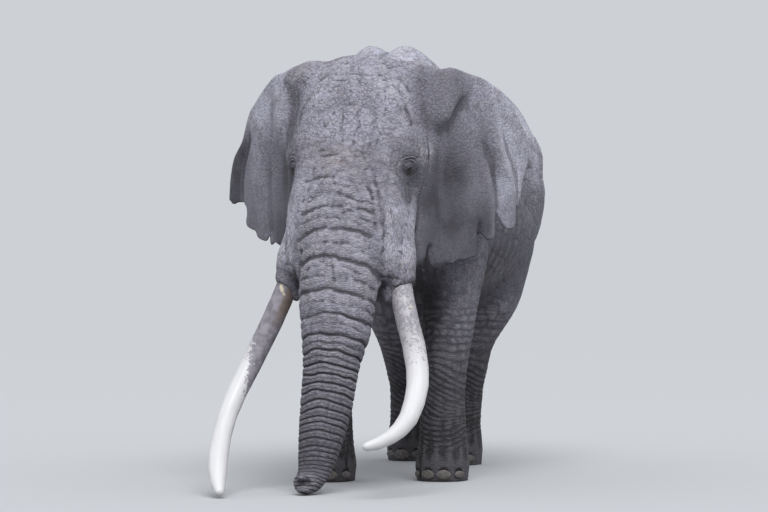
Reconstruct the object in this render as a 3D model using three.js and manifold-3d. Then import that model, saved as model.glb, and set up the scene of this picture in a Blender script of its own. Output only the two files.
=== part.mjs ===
// A life-size African savanna elephant, an old bull with long tusks, standing with its trunk down.
// Millimetres. +Z is up, the bull faces -Y and its left side is +X. The origin is on the floor under
// the middle of the whole animal. The flesh is joined into one solid and parted again with thin cuts,
// so its pieces meet face to face. Ears, eyes, tusks and nails are solids of their own.

import * as THREE from "three";
import { mergeVertices } from "three/addons/utils/BufferGeometryUtils.js";
import Module from "manifold-3d";

const wasm = await Module();
wasm.setup();

// Driving dimensions. Heights are measured from the top of the sole pads, 60 mm above the floor.
const FLOOR = -60;
const SHOULDER = 3305;
const GAP = 0.4; // between two pieces that meet
const LEFT = 1;
const RIGHT = -1;

// Where the soles stand, seen from above, on the scale of the body's midline.
const FEET = {
  front_left: new THREE.Vector2(485, 125),
  front_right: new THREE.Vector2(-350, -140),
  hind_left: new THREE.Vector2(165, 1985),
  hind_right: new THREE.Vector2(-385, 2390),
};

const HIDE = new THREE.MeshStandardMaterial({ color: 0x77747a, roughness: 0.9, metalness: 0 });
const IVORY = new THREE.MeshStandardMaterial({ color: 0xe4e0d6, roughness: 0.45, metalness: 0 });
const HORN = new THREE.MeshStandardMaterial({ color: 0x8b8072, roughness: 0.7, metalness: 0 });
const EYE = new THREE.MeshStandardMaterial({ color: 0x2a1c12, roughness: 0.1, metalness: 0 });
const BRISTLE = new THREE.MeshStandardMaterial({ color: 0x1f1c1c, roughness: 0.6, metalness: 0 });

// ---------------------------------------------------------------------------------------------
// Making and cutting solids

const spline = (points) => new THREE.CatmullRomCurve3(points);
const lerp = THREE.MathUtils.lerp;

// A closed shell as a solid. A shell that comes out inside out has its faces turned round.
function solid(geometry) {
  geometry.deleteAttribute("normal");
  geometry.deleteAttribute("uv");
  const merged = mergeVertices(geometry, 1e-3);
  const triVerts = new Uint32Array(merged.index.array);
  const vertProperties = merged.attributes.position.array;
  const made = new wasm.Manifold(new wasm.Mesh({ numProp: 3, vertProperties, triVerts }));
  if (made.volume() > 0) return made;
  for (let i = 0; i < triVerts.length; i += 3) {
    [triVerts[i], triVerts[i + 1]] = [triVerts[i + 1], triVerts[i]];
  }
  return new wasm.Manifold(new wasm.Mesh({ numProp: 3, vertProperties, triVerts }));
}

function join(solids) {
  return solids.reduce((whole, next) => whole.add(next));
}

function largest(made) {
  return made.decompose().reduce((best, body) => (body.volume() > best.volume() ? body : best));
}

// The rings of a lofted body: t runs from 0 to 1 along it, and size shrinks a ring in a round end.
function ringsOf(count, ends) {
  const steps = 2;
  const round = (share) =>
    Array.from({ length: share ? steps : 0 }, (_, i) => {
      const turn = ((i + 1) / (steps + 1)) * (Math.PI / 2);
      return { t: share * (1 - Math.cos(turn)), size: Math.sin(turn) };
    });
  const first = round(ends[0]);
  const last = round(ends[1]).reverse();
  const middle = Array.from({ length: count }, (_, i) => ({
    t: lerp(ends[0], 1 - ends[1], i / (count - 1)),
    size: 1,
  }));
  return [...first, ...middle, ...last.map(({ t, size }) => ({ t: 1 - t, size }))];
}

// A closed body through stations. Each station has a centre, a half width to either side, and how
// far it reaches in front of the centre and behind it. axes gives the two directions of a ring.
function loft(stations, { sides, rings, axes, ends, square = 2, grow }) {
  const centres = spline(stations.map(({ at }) => new THREE.Vector3(...at)));
  const sizes = spline(stations.map(({ side, front, back }) => new THREE.Vector3(side, front, back ?? front)));
  const power = 2 / square;
  const places = [];
  const faces = [];
  const ringList = ringsOf(rings, ends);
  const add = (v) => places.push(v.x, v.y, v.z);
  // An end's middle lies in the plane of its ring, so that a flat end is flat.
  const pole = (t) => {
    const tangent = centres.getTangent(t);
    const outward = new THREE.Vector3().crossVectors(...axes(tangent));
    if (outward.dot(tangent) < 0) outward.negate();
    return centres.getPoint(t).addScaledVector(outward, t > 0.5 ? grow : -grow);
  };
  add(pole(0));
  for (const { t, size } of ringList) {
    const centre = centres.getPoint(t);
    const reach = sizes.getPoint(t);
    const [u, v] = axes(centres.getTangent(t));
    for (let i = 0; i < sides; i++) {
      const angle = (i / sides) * 2 * Math.PI;
      const cos = Math.cos(angle);
      const sin = Math.sin(angle);
      const across = Math.sign(cos) * Math.abs(cos) ** power * (reach.x * size + grow);
      const ahead = Math.sign(sin) * Math.abs(sin) ** power * ((sin > 0 ? reach.y : reach.z) * size + grow);
      add(centre.clone().addScaledVector(u, across).addScaledVector(v, ahead));
    }
  }
  add(pole(1));
  const at = (ring, i) => 1 + ring * sides + (i % sides);
  const end = places.length / 3 - 1;
  const final = ringList.length - 1;
  for (let i = 0; i < sides; i++) {
    faces.push(0, at(0, i + 1), at(0, i));
    faces.push(end, at(final, i), at(final, i + 1));
    for (let ring = 0; ring < final; ring++) {
      faces.push(at(ring, i), at(ring, i + 1), at(ring + 1, i));
      faces.push(at(ring + 1, i), at(ring, i + 1), at(ring + 1, i + 1));
    }
  }
  const geometry = new THREE.BufferGeometry();
  geometry.setAttribute("position", new THREE.Float32BufferAttribute(places, 3));
  geometry.setIndex(faces);
  return solid(geometry);
}

// Ring directions: level rings for upright bodies, upright rings for the trunk of the body, and
// rings square to the line for the nose, the tusks and the tail.
const ACROSS = new THREE.Vector3(1, 0, 0);
const AHEAD = new THREE.Vector3(0, -1, 0);
const UP = new THREE.Vector3(0, 0, 1);
const level = () => [ACROSS, AHEAD];
const upright = () => [ACROSS, UP];
const squareTo = (tangent) => {
  const ahead = new THREE.Vector3().crossVectors(tangent, ACROSS).normalize();
  const across = new THREE.Vector3().crossVectors(ahead, tangent).normalize();
  return [across, ahead.dot(AHEAD) + ahead.dot(UP) * 0.3 < 0 ? ahead.negate() : ahead];
};

function ellipsoid([x, y, z], [rx, ry, rz], grow, [wide, high]) {
  const ball = new THREE.SphereGeometry(1, wide, high);
  ball.scale(rx + grow, ry + grow, rz + grow);
  ball.translate(x, y, z);
  return solid(ball);
}

// ---------------------------------------------------------------------------------------------
// The barrel of the body, as upright rings from the breast to the rump

function barrel(grow) {
  const ring = (y, side, top, bottom, widest) => ({
    at: [0, y, widest],
    side,
    front: top - widest,
    back: widest - bottom,
  });
  return loft(
    [
      ring(-500, 190, 2480, 1800, 2130),
      ring(-320, 400, 2860, 1570, 2150),
      ring(-80, 550, 3090, 1440, 2150),
      ring(200, 650, 3215, 1350, 2150),
      ring(520, 735, 3235, 1310, 2140),
      ring(850, 790, 3175, 1280, 2120),
      ring(1200, 840, 3120, 1255, 2110),
      ring(1550, 872, 3120, 1250, 2110),
      ring(1900, 872, 3150, 1275, 2130),
      ring(2200, 798, 3110, 1370, 2150),
      ring(2460, 640, 2950, 1560, 2180),
      ring(2650, 410, 2710, 1800, 2240),
      ring(2760, 190, 2520, 2050, 2300),
    ],
    { sides: 18, rings: 12, axes: upright, ends: [0.035, 0.035], square: 2.15, grow },
  );
}

// The tops of the shoulder blades, either side of the dip over the spine.
function shoulderBlades(grow) {
  const rise = 250;
  return join(
    [LEFT, RIGHT].map((side) =>
      ellipsoid([side * 148, 390, SHOULDER - rise], [205, 500, rise], grow, [10, 8]),
    ),
  );
}

// The neck, from the back of the skull into the shoulders.
function neck(grow) {
  const ring = (y, side, top, bottom) => ({
    at: [0, y, (top + bottom) / 2],
    side,
    front: (top - bottom) / 2,
  });
  return loft(
    [
      ring(-560, 330, 2980, 1900),
      ring(-330, 420, 3110, 1720),
      ring(-60, 510, 3160, 1560),
      ring(250, 600, 3200, 1450),
      ring(560, 600, 3180, 1430),
    ],
    { sides: 12, rings: 4, axes: upright, ends: [0.1, 0.1], grow },
  );
}

// ---------------------------------------------------------------------------------------------
// The head: skull and face, lids, tusk sheaths, ear roots and lower jaw

const EYE_RADIUS = 23;
const EYE_AT = [452, -792, 2370];

function skull(grow) {
  const ring = (z, y, side, front, back) => ({ at: [0, y, z], side, front, back });
  return loft(
    [
      ring(3240, -400, 150, 90, 100),
      ring(3190, -405, 300, 170, 190),
      ring(3065, -430, 425, 250, 250),
      ring(2930, -440, 490, 300, 300),
      ring(2795, -450, 515, 330, 330),
      ring(2660, -485, 565, 350, 360),
      ring(2520, -530, 602, 370, 370),
      ring(2390, -535, 588, 382, 350),
      ring(2240, -510, 528, 385, 330),
      ring(2060, -560, 498, 455, 290),
      ring(1900, -620, 452, 495, 260),
      ring(1750, -690, 418, 465, 220),
      ring(1610, -760, 392, 385, 180),
      ring(1500, -820, 290, 300, 140),
    ],
    { sides: 16, rings: 11, axes: level, ends: [0.04, 0.05], square: 2.25, grow },
  );
}

// The mound of skin that the eye sits in.
function lids(side, grow) {
  return ellipsoid([side * (EYE_AT[0] - 33), EYE_AT[1] + 38, EYE_AT[2]], [68, 68, 60], grow, [8, 5]);
}

function tuskSheath(side, grow) {
  const stations = [
    { at: [side * 325, -600, 2290], side: 118, front: 130 },
    { at: [side * 358, -715, 2060], side: 138, front: 145 },
    { at: [side * 377, -830, 1870], side: 134, front: 140 },
    { at: [side * 394, -925, 1700], side: 128, front: 132 },
    { at: [side * 415, -960, 1570], side: 122, front: 124 },
    { at: [side * 446, -972, 1450], side: 106, front: 106 },
  ];
  return loft(stations, { sides: 8, rings: 4, axes: squareTo, ends: [0.12, 0.03], grow });
}

function earRoot(side, grow) {
  return ellipsoid([side * 475, -275, 2930], [165, 190, 250], grow, [8, 5]);
}

function jaw(grow) {
  const stations = [
    { at: [0, -330, 1960], side: 320, front: 190 },
    { at: [0, -520, 1760], side: 310, front: 190 },
    { at: [0, -700, 1580], side: 240, front: 155 },
    { at: [0, -850, 1430], side: 145, front: 110 },
    { at: [0, -960, 1300], side: 70, front: 60 },
    { at: [0, -1000, 1225], side: 34, front: 32 },
  ];
  return loft(stations, { sides: 8, rings: 5, axes: squareTo, ends: [0.1, 0.05], grow });
}

// ---------------------------------------------------------------------------------------------
// The trunk, from the brow down to its two-fingered tip on the floor

function trunk(grow) {
  const ring = (z, x, y, side, front, back) => ({ at: [x, y, z], side, front, back });
  return loft(
    [
      ring(2800, 0, -540, 170, 130, 150),
      ring(2550, 0, -670, 260, 195, 200),
      ring(2300, 0, -820, 320, 245, 220),
      ring(2050, 0, -945, 330, 262, 240),
      ring(1800, 0, -1060, 325, 275, 250),
      ring(1550, 2, -1150, 318, 272, 245),
      ring(1330, 8, -1215, 298, 252, 225),
      ring(1130, 10, -1270, 270, 232, 205),
      ring(950, -4, -1315, 238, 208, 190),
      ring(750, -16, -1370, 214, 188, 175),
      ring(550, -28, -1420, 197, 172, 160),
      ring(370, -46, -1462, 178, 155, 142),
      ring(210, -66, -1500, 150, 130, 118),
      ring(90, -86, -1552, 118, 100, 94),
      ring(36, -100, -1640, 102, 84, 88),
      ring(30, -110, -1730, 92, 74, 84),
    ],
    { sides: 12, rings: 16, axes: squareTo, ends: [0.03, 0.012], square: 2.1, grow },
  );
}

// The pointed finger on the tip's upper edge, and the broad one below.
function trunkFingers(grow) {
  const upper = ellipsoid([-114, -1752, 72], [34, 62, 24], grow, [7, 4]);
  const lower = ellipsoid([-110, -1745, -16], [58, 50, 30], grow, [7, 4]);
  return upper.add(lower);
}

// ---------------------------------------------------------------------------------------------
// The legs, as level rings from the flat sole up into the body

// Each ring: height, how far its centre has gone from the foot towards the hip or shoulder, half
// width, reach to the front, reach to the back, and how far the bone bends forward there.
const FRONT_LEG = [
  [FLOOR, 0, 206, 232, 200, 0],
  [10, 0, 222, 250, 212, 0],
  [130, 0, 214, 232, 206, 0],
  [290, 0.02, 189, 202, 190, 0],
  [480, 0.04, 172, 186, 178, 0],
  [700, 0.1, 176, 192, 180, 8],
  [920, 0.25, 188, 205, 205, 8],
  [1180, 0.55, 212, 228, 240, 0],
  [1450, 0.85, 248, 270, 310, -30],
  [1720, 1, 268, 320, 350, -30],
  [2000, 1, 262, 340, 340, 0],
  [2300, 0.9, 190, 260, 260, 0],
];
const HIND_LEG = [
  [FLOOR, 0, 168, 222, 184, 0],
  [10, 0, 180, 238, 192, 0],
  [120, 0, 172, 214, 186, 0],
  [280, 0, 152, 174, 184, -10],
  [450, 0.02, 150, 165, 190, -26],
  [700, 0.12, 162, 190, 192, -6],
  [930, 0.3, 190, 240, 222, 26],
  [1160, 0.5, 244, 300, 285, 44],
  [1420, 0.76, 300, 375, 385, 30],
  [1680, 0.95, 325, 440, 470, 0],
  [1980, 1, 310, 480, 500, 0],
  [2280, 1, 250, 400, 430, 0],
];
// reach is how far along the body a pair of legs goes, and top is where an upper leg leaves the body.
const FRONT = {
  rings: FRONT_LEG,
  joint: new THREE.Vector2(512, 360),
  nails: 4,
  fan: 2.5,
  reach: [-700, 700],
  top: { height: 1470, inner: 240 },
};
const HIND = {
  rings: HIND_LEG,
  joint: new THREE.Vector2(430, 2070),
  nails: 3,
  fan: 2.1,
  reach: [1250, 3200],
  top: { height: 1235, inner: 0 },
};
const LEGS = {
  front_left: { ...FRONT, side: LEFT },
  front_right: { ...FRONT, side: RIGHT },
  hind_left: { ...HIND, side: LEFT },
  hind_right: { ...HIND, side: RIGHT },
};

function leg(rings, foot, side, joint, grow) {
  const stations = rings.map(([z, share, half, front, back, bend]) => ({
    at: [lerp(foot.x, side * joint.x, share), lerp(foot.y, joint.y, share) - bend, z],
    side: half,
    front,
    back,
  }));
  return loft(stations, { sides: 12, rings: 8, axes: level, ends: [0, 0.06], square: 2.1, grow });
}

const NAIL = { half: 52, depth: 22, inset: 12, lean: -0.12 };

// The nails of a foot stand in a fan round its front edge, and the outer ones are smaller.
function nails(name, grow) {
  const { rings, nails: count, fan } = LEGS[name];
  const [height, , half, front] = rings[1];
  const foot = FEET[name];
  return Array.from({ length: count }, (_, i) => {
    const turn = ((i - (count - 1) / 2) / count) * fan;
    const size = NAIL.half * (1 - Math.abs(turn) / 3);
    const x = foot.x + Math.sin(turn) * (half - NAIL.inset);
    const y = foot.y - Math.cos(turn) * (front - NAIL.inset);
    const ball = new THREE.SphereGeometry(1, 7, 4);
    ball.scale(size + grow, NAIL.depth + grow, size + grow);
    ball.rotateX(NAIL.lean);
    ball.rotateZ(turn);
    ball.translate(x, y, height);
    return solid(ball);
  });
}

// ---------------------------------------------------------------------------------------------
// The tail: a root on the rump, a long dock and a flat tuft of bristles

function tailDock(grow) {
  const ring = (x, y, z, side, front) => ({ at: [x, y, z], side, front });
  return loft(
    [
      ring(0, 2560, 2640, 120, 105),
      ring(0, 2710, 2540, 100, 92),
      ring(6, 2806, 2340, 76, 72),
      ring(20, 2840, 2050, 57, 54),
      ring(48, 2850, 1720, 45, 43),
      ring(84, 2846, 1380, 38, 35),
      ring(112, 2846, 1100, 32, 28),
      ring(124, 2846, 930, 24, 20),
    ],
    { sides: 7, rings: 7, axes: squareTo, ends: [0.04, 0.02], grow },
  );
}

function tailTuft(grow) {
  const ring = (x, y, z, side, front) => ({ at: [x, y, z], side, front });
  return loft(
    [
      ring(108, 2846, 1120, 34, 44),
      ring(118, 2846, 1000, 36, 62),
      ring(128, 2846, 850, 36, 68),
      ring(138, 2848, 680, 32, 60),
      ring(146, 2850, 520, 22, 38),
      ring(150, 2852, 420, 8, 12),
    ],
    { sides: 6, rings: 5, axes: squareTo, ends: [0.05, 0.03], grow },
  );
}

// ---------------------------------------------------------------------------------------------
// The tusks: round, slowly thinning, swept down, out and forward; the left one turns in at its tip

const TUSKS = {
  right: {
    side: RIGHT,
    radii: [78, 85, 85, 85, 84, 82, 79, 76, 74, 73, 70, 60, 44, 24],
    line: [
      [412, -928, 1620],
      [462, -978, 1450],
      [514, -1040, 1295],
      [563, -1120, 1145],
      [613, -1220, 997],
      [659, -1330, 851],
      [705, -1440, 705],
      [738, -1560, 561],
      [747, -1690, 418],
      [738, -1830, 278],
      [712, -1950, 174],
      [680, -2060, 82],
      [645, -2150, 16],
      [618, -2210, -22],
    ],
  },
  left: {
    side: LEFT,
    radii: [80, 89, 90, 90, 90, 88, 86, 82, 76, 68, 58, 47, 36, 20],
    line: [
      [410, -928, 1610],
      [445, -978, 1440],
      [486, -1035, 1303],
      [544, -1110, 1156],
      [610, -1215, 1010],
      [662, -1330, 867],
      [692, -1440, 760],
      [702, -1560, 656],
      [700, -1690, 553],
      [682, -1815, 478],
      [642, -1930, 418],
      [598, -2020, 378],
      [538, -2095, 350],
      [465, -2150, 333],
    ],
  },
};

function tusk({ side, radii, line }, grow) {
  const stations = line.map(([x, y, z], i) => ({ at: [side * x, y, z], side: radii[i], front: radii[i] }));
  return loft(stations, { sides: 10, rings: 12, axes: squareTo, ends: [0.03, 0.014], grow });
}

// ---------------------------------------------------------------------------------------------
// The ears: thin sheets on the side of the head, swept back over the neck and shoulders

// An ear's rim, as distance out from the ear's root and height.
const EARS = {
  left: {
    side: LEFT,
    sweep: 62,
    root: new THREE.Vector2(585, -450),
    rim: [
      [-170, 2750], [-110, 3040], [60, 3140], [324, 3095], [543, 3020], [769, 2889],
      [920, 2735], [1040, 2550], [1083, 2380], [1055, 2210], [940, 2070], [830, 1915],
      [700, 1900], [615, 1775], [440, 1720], [250, 1660], [50, 1612], [-90, 1620],
      [-190, 1660], [-230, 1800], [-225, 2100], [-205, 2450],
    ],
  },
  right: {
    side: RIGHT,
    sweep: 48,
    root: new THREE.Vector2(600, -450),
    rim: [
      [-170, 2750], [-110, 3020], [90, 3068], [240, 3005], [400, 2900], [540, 2790],
      [640, 2650], [770, 2500], [920, 2380], [1000, 2262], [1025, 2120], [830, 2095],
      [650, 2050], [600, 1945], [460, 1870], [330, 1812], [200, 1780], [60, 1760],
      [-80, 1740], [-200, 1800], [-225, 2000], [-205, 2400],
    ],
  },
};
const EAR_WIDTH = 1050;
const EAR_CENTRE = new THREE.Vector2(420, 2380);
const EAR_THICKNESS = { rim: 8, middle: 17, root: 45 };
const EAR_SWELL = 60;
const EAR_FACETS = { around: 30, rows: 5 };

// How far the sheet stands out from its plane: a broad swell, and folds that deepen to the rim.
function earSwell(out, z) {
  const share = THREE.MathUtils.clamp(out / EAR_WIDTH, -0.2, 1.1);
  const low = THREE.MathUtils.clamp((3000 - z) / 1300, 0, 1);
  const swell = EAR_SWELL * Math.sin(Math.PI * share);
  const folds = 26 * share ** 2 * low * Math.sin(out / 62 + z / 420);
  const tuckIn = share < 0 ? 500 * share : 0;
  return swell + folds + tuckIn;
}

function ear({ side, sweep, root, rim }) {
  const turn = THREE.MathUtils.degToRad(sweep);
  const outward = new THREE.Vector3(side * Math.cos(turn), Math.sin(turn), 0);
  const facing = new THREE.Vector3(side * Math.sin(turn), -Math.cos(turn), 0);
  const outline = new THREE.CatmullRomCurve3(
    rim.map(([out, z]) => new THREE.Vector3(out, z, 0)),
    true,
  );
  // A ball with no ring on its equator, pressed flat: its two middle rings make the blunt rim.
  const sheet = new THREE.SphereGeometry(1, EAR_FACETS.around, EAR_FACETS.rows);
  const rimTurn = (Math.PI / 2) * (1 - 1 / EAR_FACETS.rows);
  const { position } = sheet.attributes;
  for (let i = 0; i < position.count; i++) {
    const v = new THREE.Vector3().fromBufferAttribute(position, i);
    const around = (Math.atan2(v.z, v.x) / (2 * Math.PI) + 1) % 1;
    const edge = outline.getPoint(around);
    const share = Math.min(1, Math.asin(Math.min(1, Math.hypot(v.x, v.z))) / rimTurn);
    const out = lerp(EAR_CENTRE.x, edge.x, share);
    const z = lerp(EAR_CENTRE.y, edge.y, share);
    const near = THREE.MathUtils.smoothstep(-out, -260, 60);
    const half = lerp(EAR_THICKNESS.middle, EAR_THICKNESS.rim, share ** 2) + near * EAR_THICKNESS.root;
    const place = new THREE.Vector3(side * root.x, root.y, z)
      .addScaledVector(outward, out)
      .addScaledVector(facing, earSwell(out, z) + Math.sign(v.y) * half);
    position.setXYZ(i, place.x, place.y, place.z);
  }
  return solid(sheet);
}

// ---------------------------------------------------------------------------------------------
// Joining the flesh, and sinking the hard pieces into it

function flesh(grow) {
  const legs = Object.entries(LEGS).map(([name, { rings, side, joint }]) =>
    leg(rings, FEET[name], side, joint, grow),
  );
  const pairs = [LEFT, RIGHT].flatMap((side) => [
    lids(side, grow),
    tuskSheath(side, grow),
    earRoot(side, grow),
  ]);
  return join([
    barrel(grow),
    shoulderBlades(grow),
    neck(grow),
    skull(grow),
    jaw(grow),
    trunk(grow),
    trunkFingers(grow),
    ...legs,
    ...pairs,
  ]);
}

function eyeBall(side, grow) {
  const radii = [EYE_RADIUS, EYE_RADIUS, EYE_RADIUS];
  return ellipsoid([side * EYE_AT[0], EYE_AT[1], EYE_AT[2]], radii, grow, [7, 5]);
}

const pieces = new Map();

let body = flesh(0);
const around = flesh(GAP);
for (const [name, { side }] of Object.entries(EARS)) {
  pieces.set(`ear_${name}`, [largest(ear(EARS[name]).subtract(around)), HIDE]);
  pieces.set(`eye_${name}`, [eyeBall(side, 0), EYE]);
  pieces.set(`tusk_${name}`, [tusk(TUSKS[name], 0), IVORY]);
  body = body.subtract(eyeBall(side, GAP)).subtract(tusk(TUSKS[name], GAP));
}
for (const name of Object.keys(LEGS)) {
  nails(name, 0).forEach((nail, i) => pieces.set(`nail_${name}_${i + 1}`, [nail, HORN]));
  nails(name, GAP).forEach((nail) => (body = body.subtract(nail)));
}
const dock = tailDock(0).subtract(around);
pieces.set("tail_tuft", [largest(tailTuft(0).subtract(tailDock(GAP))), BRISTLE]);

// ---------------------------------------------------------------------------------------------
// Parting the flesh. A cutter is a box, tilted about X, whose top face is the cut

const REACH = 4000;
function below({ x = [-REACH, REACH], y, z, tilt = 0 }, grow) {
  const box = new THREE.BoxGeometry(x[1] - x[0] + 2 * grow, y[1] - y[0] + 2 * grow, REACH + grow);
  box.translate((x[0] + x[1]) / 2, 0, -REACH / 2 + grow / 2);
  box.rotateX(THREE.MathUtils.degToRad(tilt));
  box.translate(0, (y[0] + y[1]) / 2, z);
  return solid(box);
}

function part(name, cutter, source = body) {
  pieces.set(name, [largest(source.intersect(below(cutter, 0))), HIDE]);
  return source.subtract(below(cutter, GAP));
}

body = part("trunk_tip", { y: [-2600, -1100], z: 300 });
body = part("trunk_lower", { y: [-2400, -900], z: 850 });
body = part("trunk_upper", { y: [-2300, -860], z: 1560, tilt: -18 });
body = part("jaw", { x: [-300, 300], y: [-1250, -330], z: 1560, tilt: -32 });
for (const [name, { side, reach, top }] of Object.entries(LEGS)) {
  for (const [length, z, inner] of [
    ["foot", 190, 0],
    ["lower_leg", 800, 0],
    ["upper_leg", top.height, top.inner],
  ]) {
    const x = side === LEFT ? [inner, REACH] : [-REACH, -inner];
    body = part(`${length}_${name}`, { x, y: reach, z });
  }
}
pieces.set("tail_tip", [largest(dock.intersect(below({ y: [2000, 3200], z: 1700 }, 0))), HIDE]);
pieces.set("tail_root", [largest(dock.subtract(below({ y: [2000, 3200], z: 1700 }, GAP))), HIDE]);

// The head and neck come off by planes that lean back with the skull.
function ahead({ y, z, tilt }, grow) {
  const box = new THREE.BoxGeometry(2 * REACH, REACH + grow, 2 * REACH);
  box.translate(0, -REACH / 2 + grow / 2, 0);
  box.rotateX(THREE.MathUtils.degToRad(tilt));
  box.translate(0, y, z);
  return solid(box);
}
for (const [name, cutter] of [
  ["head", { y: -300, z: 2400, tilt: -10 }],
  ["neck", { y: 0, z: 2400, tilt: -4 }],
]) {
  pieces.set(name, [largest(body.intersect(ahead(cutter, 0))), HIDE]);
  body = body.subtract(ahead(cutter, GAP));
}
pieces.set("torso", [largest(body), HIDE]);

// ---------------------------------------------------------------------------------------------
// The model

const elephant = new THREE.Group();
for (const [name, [made, material]] of pieces) {
  const { numProp, numVert, vertProperties, triVerts } = made.getMesh();
  const places = new Float32Array(numVert * 3);
  for (let i = 0; i < numVert; i++) {
    places.set(vertProperties.subarray(i * numProp, i * numProp + 3), i * 3);
  }
  const geometry = new THREE.BufferGeometry();
  geometry.setAttribute("position", new THREE.BufferAttribute(places, 3));
  geometry.setIndex(new THREE.BufferAttribute(triVerts, 1));
  const mesh = new THREE.Mesh(geometry, material);
  mesh.name = name;
  elephant.add(mesh);
}
const bounds = new THREE.Box3().setFromObject(elephant);
const middle = bounds.getCenter(new THREE.Vector3());
elephant.position.set(-middle.x, -middle.y, -bounds.min.z);

export default elephant;
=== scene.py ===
import math

import bmesh
import bpy
import numpy as np
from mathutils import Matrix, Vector


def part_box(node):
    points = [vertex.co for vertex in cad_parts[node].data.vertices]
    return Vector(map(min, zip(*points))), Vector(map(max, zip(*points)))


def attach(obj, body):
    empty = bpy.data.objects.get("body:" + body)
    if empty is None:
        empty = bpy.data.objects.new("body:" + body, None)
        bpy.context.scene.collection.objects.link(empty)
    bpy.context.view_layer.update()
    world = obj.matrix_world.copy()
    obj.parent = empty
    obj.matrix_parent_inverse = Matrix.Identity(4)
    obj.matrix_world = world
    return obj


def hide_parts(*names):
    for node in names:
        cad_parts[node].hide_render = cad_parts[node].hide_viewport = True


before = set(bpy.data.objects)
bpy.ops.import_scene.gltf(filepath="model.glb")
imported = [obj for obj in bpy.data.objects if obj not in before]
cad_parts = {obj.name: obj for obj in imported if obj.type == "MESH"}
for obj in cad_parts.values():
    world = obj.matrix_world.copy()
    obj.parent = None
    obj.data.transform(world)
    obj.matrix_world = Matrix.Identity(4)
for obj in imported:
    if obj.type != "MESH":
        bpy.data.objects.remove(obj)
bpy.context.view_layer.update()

# ------------------------------
# The camera. It stands 40 m off with a long lens, a little round to the bull's left, level with
# the top of its ears, and is tipped down so that the feet are in view.


def middle(node):
    low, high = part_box(node)
    return (low + high) / 2


# The bull's own zero: on its midline, under the shoulders, at the top of the sole pads.
home = (middle("eye_left") + middle("eye_right")) / 2 - Vector((0, -0.792, 2.37))

view_turn = math.radians(15)
view_dip = math.radians(1.532)
view_distance = 40
view_height = 2.75
view_shift = 0.0456  # to the camera's right
camera_place = home + Vector((
    view_distance * math.sin(view_turn) + view_shift * math.cos(view_turn),
    -view_distance * math.cos(view_turn) + view_shift * math.sin(view_turn),
    view_height,
))
bpy.ops.object.camera_add(
    location=camera_place,
    rotation=(math.pi / 2 - view_dip, 0, view_turn),
)
camera = bpy.context.object
camera.data.sensor_width = 36
camera.data.lens = 241.875  # mm, so that the bull nearly fills the picture from so far off
camera.data.clip_end = 400
bpy.context.scene.camera = camera

# ------------------------------
# The skin's rough form. One skin covers all the flesh, so the pieces of flesh are copied, run
# together and covered by one even net, with the eye and tusk sockets filled for now.

net_size = 0.011
overlap = 0.0006  # how far the pieces of flesh run into each other


def mesh_of(name, form):
    mesh = bpy.data.meshes.new(name)
    form.to_mesh(mesh)
    form.free()
    return mesh


def object_of(name, form):
    made = bpy.data.objects.new(name, mesh_of(name, form))
    bpy.context.scene.collection.objects.link(made)
    return made


def pick(piece):
    """Selects one piece and nothing else."""
    bpy.ops.object.select_all(action="DESELECT")
    piece.select_set(True)
    bpy.context.view_layer.objects.active = piece


def change(piece, kind, **settings):
    """Puts a modifier on a piece, sets it and applies it. The new mesh is given back."""
    pick(piece)
    modifier = piece.modifiers.new(kind.lower(), kind)
    for setting, value in settings.items():
        setattr(modifier, setting, value)
    bpy.ops.object.modifier_apply(modifier=modifier.name)
    return piece.data


flesh_nodes = [
    name
    for name in sorted(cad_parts)
    if name.startswith(("torso", "neck", "head", "jaw", "trunk_", "upper_leg_", "lower_leg_", "foot_"))
    or name in ("tail_root", "tail_tip")
]


def flesh_copy(names, swell):
    """The named pieces as one loose mesh, each a little fatter so that it runs into the next."""
    made = bmesh.new()
    for name in names:
        made.from_mesh(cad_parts[name].data)
    bmesh.ops.remove_doubles(made, verts=made.verts, dist=0.0001)
    made.normal_update()
    for corner in made.verts:
        corner.co += corner.normal * swell
    return made


hands = {"left": 1, "right": -1}
# The middle of each tusk where it comes out of its lip.
tusk_lips = {"left": (0.452, -0.99, 1.445), "right": (-0.468, -0.99, 1.445)}


def tusk_plug(side):
    """The hidden root of a tusk, cut off just inside the lip."""
    plug = flesh_copy([f"tusk_{side}"], 0.002)
    bmesh.ops.bisect_plane(
        plug,
        geom=plug.verts[:] + plug.edges[:] + plug.faces[:],
        plane_co=home + Vector(tusk_lips[side]),
        plane_no=(0.66 * hands[side], -0.25, -0.7),
        clear_outer=True,
    )
    bmesh.ops.holes_fill(plug, edges=plug.edges)
    return plug


def pad(centre, radii):
    """A soft egg of flesh, to fill out a hollow between two rounder forms."""
    egg = bmesh.new()
    bmesh.ops.create_icosphere(egg, subdivisions=4, radius=1)
    for corner in egg.verts:
        corner.co = home + Vector(centre) + Vector(corner.co[i] * radii[i] for i in range(3))
    return egg


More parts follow.
